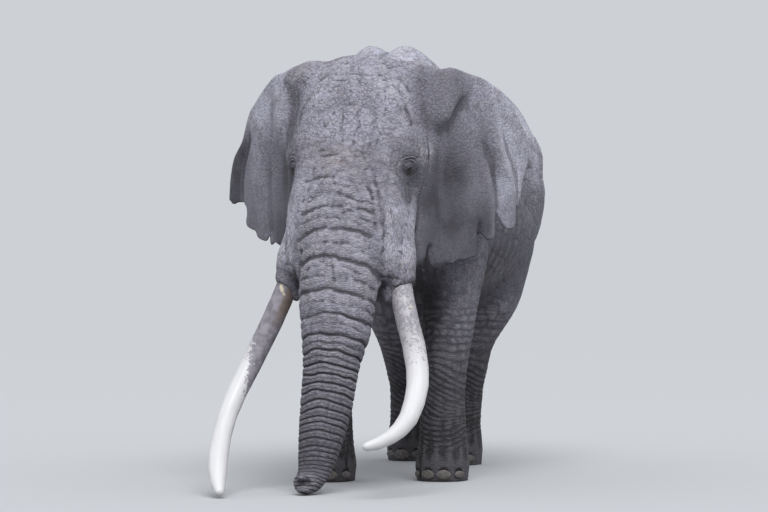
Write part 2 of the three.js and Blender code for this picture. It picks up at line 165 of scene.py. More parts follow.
# The cheeks fill the space between the trunk's root and the tusk sheaths down to the upper lip,
# and the ear muscles fill the space between the dome of the head and the ears.
fillings = [
    pad((side * across, ahead, height), radii)
    for side in (1, -1)
    for across, ahead, height, radii in (
        (0.25, -0.8, 2.26, (0.2, 0.2, 0.3)),
        (0.27, -0.9, 2.05, (0.2, 0.21, 0.3)),
        (0.29, -0.98, 1.9, (0.17, 0.17, 0.3)),
        (0.31, -1.05, 1.7, (0.12, 0.12, 0.2)),
        (0.385, -0.985, 1.445, (0.055, 0.065, 0.085)),
        (0.48, -0.32, 2.86, (0.165, 0.17, 0.28)),
        (0.515, -0.38, 2.62, (0.11, 0.12, 0.22)),
        (0.4, -0.4, 3.03, (0.21, 0.15, 0.175)),
    )
]
fillings += [
    pad((-0.5, -0.42, 3.045), (0.15, 0.12, 0.125)),  # over the right ear's root
    pad((0.345, -0.985, 1.455), (0.062, 0.07, 0.09)),  # the inner side of the left lip
]
body_form = flesh_copy(flesh_nodes, overlap)
plugs = [tusk_plug("left"), tusk_plug("right"), flesh_copy(["eye_left", "eye_right"], -0.004)]
for part in plugs + fillings:
    scrap = mesh_of("scrap", part)
    body_form.from_mesh(scrap)
    bpy.data.meshes.remove(scrap)
skin = object_of("skin", body_form)
skin_mesh = change(skin, "REMESH", mode="VOXEL", voxel_size=net_size)


def read(items, name, width, kind=float):
    """A property of all the points or edges, as one row for each."""
    flat = np.empty(len(items) * width, dtype=kind)
    items.foreach_get(name, flat)
    return flat.reshape(-1, width)


def places_of(mesh):
    return read(mesh.vertices, "co", 3) - np.array(home)


def place(mesh, places):
    mesh.vertices.foreach_set("co", (places + np.array(home)).astype(np.float32).ravel())
    mesh.update()


def normals_of(mesh):
    return read(mesh.vertex_normals, "vector", 3)


def edges_of(mesh):
    return read(mesh.edges, "vertices", 2, np.int64)


def rise(value, low, high):
    """From 0 at low to 1 at high, easing in and out."""
    share = np.clip((value - low) / (high - low), 0, 1)
    return share * share * (3 - 2 * share)


def fall(value, low, high):
    """From 1 at low to 0 at high."""
    return rise(-value, -high, -low)


def relax(places, edges, share, passes):
    """Moves each point towards the middle of its neighbours, again and again."""
    start, end = edges.T
    size = len(places)
    neighbours = np.maximum(np.bincount(start, minlength=size) + np.bincount(end, minlength=size), 1)
    for _ in range(passes):
        total = np.stack([
            np.bincount(start, column[end], size) + np.bincount(end, column[start], size)
            for column in places.T
        ], axis=1)
        places = places + share[:, None] * (total / neighbours[:, None] - places)
    return places


def spread(value, edges, passes):
    """A value blurred over the net."""
    return relax(value[:, None], edges, np.full(len(value), 0.5), passes)[:, 0]


def mix(first, second, share):
    return first * (1 - share) + second * share


def rounding(places):
    """How far the flats are rounded over: broadly on the barrel, hardly at the feet."""
    x, y, z = places.T
    reach = np.full(len(places), 0.11)
    head = rise(-y, 0.15, 0.5) * rise(z, 1.3, 1.7)
    reach = mix(reach, 0.058, head)
    face = rise(-y, 0.55, 0.75) * rise(z, 1.6, 1.8) * fall(np.abs(x), 0.36, 0.46)
    reach = mix(reach, 0.078, face)
    trunk = rise(-y, 0.95, 1.15) * fall(z, 1.5, 1.75)
    reach = mix(reach, np.interp(z, [0, 0.2, 0.6, 1.6], [0.012, 0.018, 0.034, 0.05]), trunk)
    legs = fall(z, 0.95, 1.5) * (1 - trunk)
    reach = mix(reach, np.interp(z, [0.0, 0.16, 0.3, 0.9], [0.007, 0.012, 0.026, 0.045]), legs)
    jaw = rise(-y, 0.3, 0.6) * fall(z, 1.5, 1.75) * (1 - trunk)
    reach = mix(reach, 0.022, jaw)
    return mix(reach, 0.016, rise(y, 2.72, 2.8))


places = places_of(skin_mesh)
edges = edges_of(skin_mesh)
reach = rounding(places)
passes = int(0.0258 / net_size ** 2)  # a finer net needs more of them for the same reach
share = np.minimum(2 * reach ** 2 / (passes * net_size ** 2), 0.95)
place(skin_mesh, relax(places, edges, share, passes))
# Rounding over shrinks the form a little, and this gives the loss back.
place(skin_mesh, places_of(skin_mesh) + normals_of(skin_mesh) * (0.8 * reach ** 2)[:, None])

# ------------------------------
# The build of the body under the skin: shoulder blades, backbone, ribs, hips, brow and temples.
# They are hardly more than swells, but they turn the smooth form into an old, lean bull.


def refine(mesh, wanted):
    """Halves the net where it is wanted."""
    made = bmesh.new()
    made.from_mesh(mesh)
    chosen = [edge for edge in made.edges if wanted[edge.verts[0].index] and wanted[edge.verts[1].index]]
    bmesh.ops.subdivide_edges(made, edges=chosen, cuts=1, use_grid_fill=True)
    made.to_mesh(mesh)
    made.free()


def dome(across, width):
    return np.exp(-(across / width) ** 2)


def apart(places, centre):
    return np.linalg.norm(places - np.array(centre), axis=1)


eye_centres = {side: np.array(middle(f"eye_{side}") - home) for side in hands}

# The net is halved on the trunk and the tusks' lips, and twice round the eyes.
places = places_of(skin_mesh)
wanted = (places[:, 1] < -0.9) & (places[:, 2] < 1.36)
for side, eye in eye_centres.items():
    wanted |= (apart(places, eye) < 0.15) | (apart(places, tusk_lips[side]) < 0.2)
refine(skin_mesh, wanted)
places = places_of(skin_mesh)
refine(skin_mesh, np.any([apart(places, eye) < 0.085 for eye in eye_centres.values()], axis=0))
places = places_of(skin_mesh)
edges = edges_of(skin_mesh)
near = ((places[:, 1] < -0.88) & (places[:, 2] < 1.4)).astype(float)
for side, eye in eye_centres.items():
    near = np.maximum(near, fall(apart(places, eye), 0.16, 0.19))
    near = np.maximum(near, fall(apart(places, tusk_lips[side]), 0.21, 0.24))
place(skin_mesh, relax(places, edges, 0.6 * near, 3))


def lattice(cell, seed):
    """A value between -1 and 1 for each cell of a grid, shuffled from the cell's three counts."""
    mixed = (cell[:, 0] * 73856093) ^ (cell[:, 1] * 19349663) ^ (cell[:, 2] * 83492791) ^ (seed * 2654435761)
    mixed = ((mixed ^ (mixed >> 13)) * 1274126177) & 0xFFFFFFFF
    return ((mixed ^ (mixed >> 15)) & 0xFFFF) / 32767.5 - 1


def drift(places, size, seed=1):
    """A smooth wandering value between -1 and 1, with swells about as broad as the size."""
    scaled = places / size
    cell = np.floor(scaled).astype(np.int64)
    part = scaled - cell
    part = part * part * (3 - 2 * part)
    total = np.zeros(len(places))
    for corner in ((i, j, k) for i in (0, 1) for j in (0, 1) for k in (0, 1)):
        weight = np.prod([part[:, n] if corner[n] else 1 - part[:, n] for n in range(3)], axis=0)
        total += weight * lattice(cell + np.array(corner), seed)
    return total


def swell(places, centre, radii):
    """An egg-shaped swell, 1 at its middle."""
    return np.exp(-(((places - np.array(centre)) / np.array(radii)) ** 2).sum(axis=1))


def stroke(across, along, line, width):
    """1 on a drawn line, falling away on both sides of it and past its ends."""
    nearest = np.full(len(across), 9.0)
    for (a, b), (c, d) in zip(line, line[1:]):
        run, climb = c - a, d - b
        part = np.clip(((across - a) * run + (along - b) * climb) / (run ** 2 + climb ** 2), 0, 1)
        nearest = np.minimum(nearest, (across - a - part * run) ** 2 + (along - b - part * climb) ** 2)
    return np.exp(-nearest / width ** 2)


def bones(places):
    x, y, z = places.T
    side = np.abs(x)
    mirrored = np.stack([side, y, z], axis=1)
    lift = 0.016 * dome(x, 0.05) * rise(y, 0.55, 0.9) * fall(y, 2.3, 2.6) * rise(z, 2.3, 2.6)
    for height, spot, radii in (
        (0.04, (-0.145, 0.3, 3.26), (0.085, 0.26, 0.12)),
        (0.04, (0.125, 0.3, 3.26), (0.09, 0.26, 0.12)),
        (-0.01, (-0.012, 0.28, 3.26), (0.045, 0.26, 0.12)),
        (-0.012, (0.0, -0.78, 2.8), (0.12, 0.2, 0.16)),
        (0.012, (-0.105, -1.8, 0.092), (0.035, 0.05, 0.018)),
        (0.006, (-0.105, -1.79, -0.005), (0.05, 0.05, 0.018)),
        (-0.026, (-0.143, -1.79, 0.046), (0.016, 0.06, 0.02)),
        (-0.026, (-0.071, -1.79, 0.046), (0.016, 0.06, 0.02)),
    ):
        lift += height * swell(places, spot, radii)
    lift += 0.005 * dome(x, 0.05) * np.sin(y * 55) * rise(y, 0.7, 1.0) * fall(y, 2.3, 2.6) * rise(z, 2.3, 2.6)
    flank = rise(side, 0.3, 0.5)
    for line, height, width in (
        (((0.02, 2.75), (-0.05, 2.3), (-0.18, 1.85)), 0.028, 0.1),
        (((0.42, 2.7), (0.32, 2.3), (0.1, 1.75)), -0.022, 0.12),
        (((1.7, 2.6), (1.98, 2.5), (2.3, 2.32)), 0.026, 0.1),
        (((1.55, 2.32), (1.5, 2.1)), -0.034, 0.16),
        (((2.05, 2.1), (1.85, 1.6), (1.75, 1.2)), 0.018, 0.13),
        (((0.5, 1.22), (1.0, 1.1), (1.35, 1.12), (1.6, 1.3)), 0.012, 0.06),
    ):
        lift += flank * height * stroke(y, z, line, width)
    ribs = rise(y, 0.4, 0.7) * fall(y, 1.3, 1.6) * rise(z, 1.35, 1.6) * fall(z, 2.2, 2.5) * flank
    lift += 0.003 * ribs * np.sin((y + 0.25 * z) * 44) * (0.6 + 0.6 * drift(places, 0.5, 5))
    for height, spot, radii in (
        (0.018, (0.34, -0.86, 2.6), (0.2, 0.16, 0.11)),
        (-0.03, (0.52, -0.62, 2.63), (0.12, 0.16, 0.17)),
        (-0.014, (0.47, -0.86, 2.16), (0.12, 0.14, 0.16)),
        (0.012, (0.5, -0.62, 1.98), (0.12, 0.2, 0.12)),
        (0.01, (0.17, -0.6, 3.02), (0.14, 0.16, 0.16)),
        (0.034, (0.5, -0.95, 1.7), (0.13, 0.16, 0.15)),
        (0.05, (0.55, 2.2, 1.24), (0.24, 0.45, 0.28)),
    ):
        lift += height * swell(mirrored, spot, radii)
    lift += 0.006 * drift(places, 0.45, 3) + 0.004 * drift(places, 0.22, 4)
    return lift


place(skin_mesh, places_of(skin_mesh) + normals_of(skin_mesh) * bones(places_of(skin_mesh))[:, None])

# ------------------------------
# The lids and the lips of the tusks. The lids are rolls of skin round an almond opening, with
# rings of looser skin about them. Each tusk comes out of a slanting lip with a soft rim.

for side, hand in hands.items():
    eye = eye_centres[side]
    gaze = np.array((hand * 0.8, -0.6, 0.0))
    corner_way = np.array((-hand * 0.58, -0.77, -0.27))
    corner_way -= gaze * (corner_way @ gaze)
    corner_way /= np.linalg.norm(corner_way)
    upward = np.cross(corner_way, gaze) * hand
    upward *= np.sign(upward[2])
    places = places_of(skin_mesh)
    local = places - eye
    wide, tall, deep = local @ corner_way, local @ upward, local @ gaze
    near = fall(np.linalg.norm(local, axis=1), 0.12, 0.17)
    ring = np.sqrt((wide / 0.027) ** 2 + ((tall + 0.006) / 0.0115) ** 2)
    turn = np.arctan2(tall, wide)
    round_about = np.sqrt((wide / 0.046) ** 2 + (tall / 0.033) ** 2) + 0.12 * drift(places, 0.04, 31)
    above = 0.35 + 0.65 * rise(np.sin(turn + 0.5), -0.4, 0.5)
    below = 0.35 + 0.65 * rise(-np.sin(turn), -0.2, 0.7)
    form = np.where(ring < 1, -0.017 * (1 - ring ** 4), 0)
    form += 0.002 * dome(ring - 1.3, 0.3) * (0.6 + 0.6 * above)
    form += 0.008 * dome(wide + 0.004, 0.035) * dome(tall - 0.032, 0.014)
    # The rolls and grooves of looser skin, by how far out they lie and which way they are strongest.
    for height, at, width, share, steady, swing, way in (
        (-0.005, 1.45, 0.14, above, 0.5, 0.5, 2.4),
        (0.0045, 1.75, 0.24, above, 0.6, 0.4, 2.4),
        (-0.0085, 2.12, 0.16, np.maximum(above, below), 0.5, 0.5, 2.7),
        (0.003, 2.45, 0.22, above, 1, 0, 0),
        (-0.004, 2.85, 0.14, above, 0.5, 0.5, 2.6),
        (-0.0035, 1.75, 0.12, below * (1 - above), 1, 0, 0),
    ):
        form += height * dome(round_about - at, width) * share * (steady + swing * np.cos(turn - way))
    span = np.hypot(wide, tall)
    level = 0.0275 * dome(span, 0.031) - 0.55 * span ** 1.3 * rise(span, 0.02, 0.06)
    settle = near * fall(span, 0.04, 0.075)
    place(skin_mesh, places + gaze * (settle * (level - deep))[:, None] + gaze * (near * form)[:, None])

    lip = np.array(tusk_lips[side])
    along = np.array((hand * 0.27, -0.37, -0.89))
    slant = np.array((hand * 0.66, -0.25, -0.7))
    places = places_of(skin_mesh)
    local = places - lip
    down = local @ along
    off = np.linalg.norm(local - down[:, None] * along, axis=1)
    near = fall(off, 0.13, 0.17) * (down > -0.12)
    past = np.clip((local @ slant) / (along @ slant), 0, 0.2)
    places = places - along * (near * past)[:, None]
    local = places - lip
    to_lip = local @ slant
    away = local - (local @ along)[:, None] * along
    away /= np.linalg.norm(away, axis=1)[:, None] + 1e-6
    rim = near * dome(to_lip + 0.022, 0.022) * rise(off, 0.06, 0.09)
    neck = near * dome(to_lip + 0.075, 0.025) * rise(off, 0.06, 0.09)
    places = places + away * (0.007 * rim - 0.003 * neck)[:, None]
    lobe, sag = ((-0.105, -0.015, -0.055), 0.03) if side == "left" else ((0.085, -0.015, -0.055), 0.02)
    places[:, 2] -= sag * swell(places, lip + np.array(lobe), (0.06, 0.075, 0.055))
    place(skin_mesh, places)

# ------------------------------
# Folds and wrinkles. The trunk is ringed all the way down, closer and closer together; the face
# has arches of loose skin, the sheaths hang in upright folds and the legs bag at the joints.

# The heights of the creases round the trunk, large and small in turn, and the line of its front.
ring_heights = (
    2.5, 2.31, 2.155, 2.085, 2.02, 1.93, 1.83, 1.72, 1.6, 1.48, 1.385, 1.295, 1.22, 1.145, 1.09, 1.04,
    0.99, 0.94, 0.9, 0.86, 0.825, 0.79, 0.757, 0.725, 0.683, 0.643, 0.61, 0.58, 0.55, 0.52, 0.499, 0.478,
    0.448, 0.418, 0.39, 0.365, 0.335, 0.305, 0.287, 0.27, 0.25, *(0.23 - 0.015 * ring for ring in range(23)),
)
trunk_heights = (0.0, 0.09, 0.21, 0.37, 0.55, 0.75, 0.95, 1.13, 1.33, 1.55, 1.8, 2.05, 2.3, 2.55, 2.8)
trunk_fronts = (
    -1.66, -1.652, -1.63, -1.617, -1.592, -1.558, -1.523, -1.502, -1.467, -1.422, -1.335, -1.207, -1.065,
    -0.865, -0.67,
)


def trunk_ring(places):
    """Counts half rings down the trunk: whole odd numbers lie in its main creases."""
    x, y, z = places.T
    slope = np.interp(z, (0.0, 0.3, 0.6, 1.5, 1.9), (0.02, 0.08, 0.14, 0.13, 0.1))
    drop = z + 0.32 * (y - np.interp(z, trunk_heights, trunk_fronts)) + slope * np.abs(x + 0.05)
    drop += 0.02 * drift(places, 0.3, 11) * rise(z, 0.0, 0.8)
    drop += (0.004 + 0.013 * rise(z, 0.3, 0.9)) * drift(places, 0.09, 12)
    return np.interp(-drop, [-height for height in ring_heights], np.arange(len(ring_heights)))


def crease_share(places):
    """How far each main crease is drawn: high on the trunk they fade and break off in places."""
    return 1 - 0.55 * rise(places[:, 2], 0.85, 1.15) * np.clip(0.35 + 0.9 * drift(places, 0.14, 26), 0, 1)


def furrow(turns, sharp=2.0):
    """0 on the rolls and 1 in the creases between them, which lie at the whole numbers."""
    return (1 - np.abs(np.sin(math.pi * turns))) ** sharp


# Each fold: its depth, its width and its line, across and up on the face, along and up on the cheek.
face_lines = (
    (0.006, 0.016, (
        (-0.3, 2.266), (-0.208, 2.304), (-0.103, 2.319), (0.038, 2.3), (0.154, 2.253), (0.24, 2.18),
    )),
    (0.006, 0.02, ((-0.291, 2.138), (-0.163, 2.185), (-0.019, 2.19), (0.12, 2.15), (0.22, 2.07))),
    (0.006, 0.02, ((-0.283, 2.03), (-0.155, 2.082), (0.032, 2.085), (0.164, 2.035), (0.23, 1.97))),
    (0.006, 0.014, ((0.058, 2.043), (0.163, 2.066), (0.262, 2.043))),
    (0.011, 0.018, (
        (-0.31, 1.825), (-0.178, 1.907), (-0.068, 1.931), (0.05, 1.932), (0.181, 1.895), (0.25, 1.85),
    )),
    (0.01, 0.018, (
        (-0.274, 1.66), (-0.18, 1.69), (-0.087, 1.72), (0.032, 1.722), (0.16, 1.675), (0.276, 1.625),
        (0.34, 1.54),
    )),
    (0.006, 0.014, ((-0.2, 1.6), (-0.11, 1.66), (-0.02, 1.7))),
    (0.005, 0.014, ((-0.27, 1.74), (-0.16, 1.8), (-0.03, 1.825), (0.1, 1.81), (0.22, 1.75))),
    (0.005, 0.014, ((-0.25, 1.97), (-0.13, 2.005), (0.02, 2.01), (0.15, 1.97), (0.24, 1.9))),
    (0.005, 0.013, ((-0.27, 1.52), (-0.15, 1.56), (-0.02, 1.57), (0.12, 1.55), (0.25, 1.5))),
    (0.005, 0.014, ((0.25, 2.28), (0.3, 2.18), (0.32, 2.08), (0.33, 1.95))),
    (0.004, 0.013, ((0.2, 2.24), (0.25, 2.14), (0.28, 2.02), (0.29, 1.92))),
    (0.006, 0.014, ((0.24, 1.55), (0.15, 1.62), (0.06, 1.69))),
    (0.008, 0.014, ((0.005, 1.7), (0.027, 1.627), (0.048, 1.538))),
    (0.007, 0.026, ((0.324, 1.6), (0.322, 1.54), (0.315, 1.46))),
    (0.012, 0.02, ((-0.285, 1.74), (-0.28, 1.665), (-0.284, 1.568), (-0.285, 1.47))),
    (0.006, 0.015, ((0.346, 2.043), (0.352, 1.87), (0.345, 1.72), (0.35, 1.6))),
    (0.0045, 0.014, ((0.394, 2.095), (0.415, 1.907), (0.406, 1.719), (0.37, 1.53))),
    (0.0045, 0.014, ((0.444, 2.093), (0.467, 1.904), (0.463, 1.717), (0.44, 1.53))),
    (0.0035, 0.013, ((0.49, 2.015), (0.507, 1.827), (0.51, 1.663), (0.492, 1.53))),
    (0.005, 0.015, ((-0.4, 1.9), (-0.385, 1.76), (-0.36, 1.62), (-0.34, 1.48))),
    (0.004, 0.015, ((-0.45, 1.92), (-0.445, 1.78), (-0.42, 1.64), (-0.4, 1.52))),
    (0.009, 0.024, ((0.318, 1.5), (0.317, 1.38), (0.3, 1.27), (0.27, 1.17))),
    (0.006, 0.016, ((0.197, 3.178), (0.327, 3.078), (0.43, 2.925), (0.48, 2.796))),
    (0.006, 0.016, ((0.168, 3.1), (0.293, 2.993), (0.39, 2.856), (0.44, 2.697))),
    (0.005, 0.016, ((-0.2, 3.12), (-0.33, 2.99), (-0.41, 2.84), (-0.45, 2.7))),
    (0.004, 0.012, ((-0.22, 2.5), (-0.09, 2.515), (0.05, 2.505), (0.19, 2.485))),
    (0.004, 0.012, ((-0.2, 2.46), (-0.07, 2.47), (0.07, 2.465), (0.16, 2.45))),
)
cheek_lines = (
    (0.01, 0.013, (
        (-0.52, 2.72), (-0.565, 2.6), (-0.6, 2.46), (-0.575, 2.316), (-0.63, 2.164), (-0.67, 2.0),
    )),
    (-0.008, 0.014, (
        (-0.49, 2.72), (-0.535, 2.6), (-0.57, 2.46), (-0.545, 2.316), (-0.6, 2.164), (-0.64, 2.0),
    )),
    (0.008, 0.013, ((-0.54, 2.44), (-0.515, 2.316), (-0.57, 2.164), (-0.61, 2.0))),
)
leg_middles = [middle(f"lower_leg_{end}_{side}") - home for end in ("front", "hind") for side in hands]


def leg_bags(places):
    """Counts the folds up each leg, and how marked they are: they slant on the shin and hang at the ankle."""
    x, y, z = places.T
    turns, marked = np.zeros(len(places)), np.zeros(len(places))
    for centre in leg_middles:
        across = x - centre[0]
        near = fall(np.hypot(across, y - centre[1]), 0.34, 0.42) * rise(y, -0.95, -0.85)
        slant = 0.6 * fall(z, 0.7, 0.95) * rise(z, 0.36, 0.52)
        height = z + slant * across - 1.8 * across ** 2 * fall(z, 0.38, 0.52)
        count = np.interp(height, (0.0, 0.7, 0.9, 1.6), (0.0, 17.0, 21.2, 33.7))
        turns = np.where(near > 0, count, turns)
        marked = np.maximum(marked, near)
    turns = turns + 0.3 * drift(places, 0.16, 15) + 0.16 * drift(places, 0.06, 16)
    whole = np.clip(0.78 + 0.45 * drift(places, 0.13, 25), 0.3, 1)
    return turns, marked * rise(z, 0.16, 0.24) * fall(z, 1.1, 1.45) * whole


def folds(places, ahead):
    """How deep the skin is creased at each place; `ahead` is how squarely it faces forwards."""
    x, y, z = places.T
    side = np.abs(x)
    trunk = rise(-y, 0.93, 1.1) * fall(z, 1.42, 1.62) * fall(side, 0.34, 0.42)
    bridge = rise(ahead, 0.25, 0.6) * rise(-y, 0.75, 0.95) * rise(z, 1.4, 1.55) * fall(side, 0.24, 0.33)
    ring = trunk_ring(places)
    gap = np.interp(z, (0.0, 0.2, 0.5, 0.8, 1.1, 1.5, 2.4), (0.015, 0.016, 0.03, 0.042, 0.065, 0.1, 0.13))
    patchy = 0.55 + 0.45 * drift(places, 0.16, 23)
    whole = crease_share(places)
    upper = bridge * fall(z, 1.95, 2.4) * (0.55 + 0.45 * patchy)
    main = np.maximum(trunk, upper)
    deep = whole * main * np.minimum(0.42 * gap, 0.02) * (furrow((ring + 1) / 2, 2.2) - 0.3)
    deep += main * np.minimum(0.19 * gap, 0.012) * furrow(ring / 2, 2.5) * patchy
    small = np.maximum(0.7 * trunk, bridge)
    between = ring * 2 + 0.5 * drift(places, 0.05, 13)
    deep += small * np.minimum(0.12 * gap, 0.007) * furrow(between, 1.5) * patchy
    crown = rise(-y, 0.35, 0.5) * rise(z, 2.88, 3.0) * fall(side, 0.22, 0.36)
    arches = z / 0.045 - 0.6 * x * x / 0.1 + 0.8 * drift(places, 0.14, 24)
    deep += crown * 0.006 * furrow(arches) * patchy
    front = rise(ahead, 0.05, 0.35) * rise(z, 1.4, 1.46)
    waver = 0.012 * drift(places, 0.11, 14)
    for depth, width, line in face_lines:
        deep += front * depth * stroke(x + waver, z + waver, line, width)
    beside = rise(side, 0.4, 0.46) * (x > 0) * rise(-y, 0.2, 0.4)
    for depth, width, line in cheek_lines:
        deep += beside * depth * stroke(y, z, line, width)
    bag, bagged = leg_bags(places)
    deep += bagged * (0.0036 + 0.0034 * fall(z, 0.7, 0.9)) * furrow(bag, 1.6)
    body = rise(y, -0.15, 0.15) * rise(side, 0.3, 0.5) * rise(z, 1.0, 1.3)
    deep += body * 0.0035 * furrow((z + 0.35 * y) / 0.16 + 0.9 * drift(places, 0.35, 17), 4.0)
    belly = rise(y, 0.2, 0.5) * fall(y, 1.4, 1.7) * fall(z, 1.2, 1.45) * rise(z, 0.85, 0.95)
    deep += belly * 0.003 * furrow((y - 0.5 * z) / 0.13 + 0.9 * drift(places, 0.3, 18))
    throat = rise(-y, -0.1, 0.1) * rise(y, -0.75, -0.6) * fall(z, 1.6, 1.9) * fall(side, 0.3, 0.45)
    deep += throat * 0.008 * furrow(x / 0.09 + 0.5 * drift(places, 0.25, 19), 3.0)
    return deep


def crumple(places):
    """Fine creasing all over, where two wandering values pass through nothing."""
    first = (1 - np.abs(drift(places, 0.1, 21))) ** 6
    second = (1 - np.abs(drift(places, 0.052, 22))) ** 6
    head = rise(-places[:, 1], 0.3, 0.5) * rise(places[:, 2], 1.2, 1.4)
    return (0.003 + 0.0012 * head) * first + (0.0018 + 0.0012 * head) * second


places = places_of(skin_mesh)
normals = normals_of(skin_mesh)
deep = folds(places, -normals[:, 1]) + crumple(places) * rise(places[:, 2], 0.1, 0.2)
place(skin_mesh, places - normals * deep[:, None])

# ------------------------------
# The ears. Each is a broad thin sheet of skin and gristle, thick at its root, with a torn and
# lobed hem. It is laid out flat, hung from the side of the head and folded, then joined on.


def smooth_loop(corners, count=900, fineness=24):
    """A closed smooth line through the corners, as a count of points in even steps."""
    corners = np.array(corners)
    turns = len(corners)
    along = np.linspace(0, turns, turns * fineness, endpoint=False)
    step = along.astype(int)
    part = (along - step)[:, None]
    before, here, after, beyond = (corners[(step + shift) % turns] for shift in (-1, 0, 1, 2))
    line = 0.5 * (
        2 * here
        + (after - before) * part
        + (2 * before - 5 * here + 4 * after - beyond) * part ** 2
        + (3 * here - before - 3 * after + beyond) * part ** 3
    )
    gaps = np.linalg.norm(np.roll(line, -1, axis=0) - line, axis=1)
    run = np.concatenate([[0], np.cumsum(gaps)])
    even = np.linspace(0, run[-1], count, endpoint=False)
    closed = np.vstack([line, line[:1]])
    return np.stack([np.interp(even, run, closed[:, axis]) for axis in range(2)], axis=1)


# Hems, as the distance out from the root and the height, round from the front of the top.
ear_hems = {
    "left": (
        (-0.13, 2.75), (-0.13, 2.95), (-0.1, 3.13), (0.0, 3.15), (0.11, 3.128), (0.22, 3.106), (0.32, 3.086),
        (0.43, 3.062), (0.54, 3.02), (0.66, 2.955), (0.78, 2.87), (0.88, 2.78), (0.97, 2.69), (1.03, 2.59),
        (1.06, 2.49), (1.05, 2.41), (1.0, 2.32), (0.955, 2.23), (0.93, 2.13), (0.905, 2.06), (0.865, 2.07),
        (0.85, 1.98), (0.82, 1.905), (0.75, 1.895), (0.7, 1.97), (0.66, 2.06), (0.645, 1.96), (0.63, 1.86),
        (0.57, 1.815), (0.5, 1.815), (0.45, 1.86), (0.425, 1.79), (0.405, 1.7), (0.34, 1.675), (0.27, 1.66),
        (0.2, 1.66), (0.15, 1.636), (0.08, 1.63), (0.02, 1.605), (-0.05, 1.61), (-0.09, 1.67), (-0.11, 1.76),
        (-0.14, 1.68), (-0.2, 1.63), (-0.26, 1.64), (-0.27, 1.75), (-0.24, 1.95), (-0.2, 2.2), (-0.15, 2.45),
    ),
    "right": (
        (-0.15, 2.75), (-0.16, 2.95), (-0.11, 3.13), (0.04, 3.15), (0.22, 3.04), (0.35, 2.945), (0.46, 2.859),
        (0.55, 2.789), (0.62, 2.69), (0.69, 2.578), (0.77, 2.5), (0.885, 2.42), (0.96, 2.34), (1.005, 2.26),
        (1.025, 2.18), (1.03, 2.105), (0.95, 2.1), (0.87, 2.075), (0.8, 2.09), (0.7, 2.085), (0.62, 2.06),
        (0.595, 2.01), (0.615, 1.94), (0.575, 1.905), (0.51, 1.885), (0.45, 1.87), (0.41, 1.83),
        (0.34, 1.805), (0.29, 1.8), (0.26, 1.84), (0.245, 1.77), (0.18, 1.79), (0.1, 1.77), (0.01, 1.75),
        (-0.1, 1.745), (-0.2, 1.8), (-0.225, 2.0), (-0.2, 2.2), (-0.16, 2.45),
    ),
}
ear_roots = {"left": (0.585, -0.45, math.radians(62)), "right": (-0.6, -0.45, math.radians(48))}


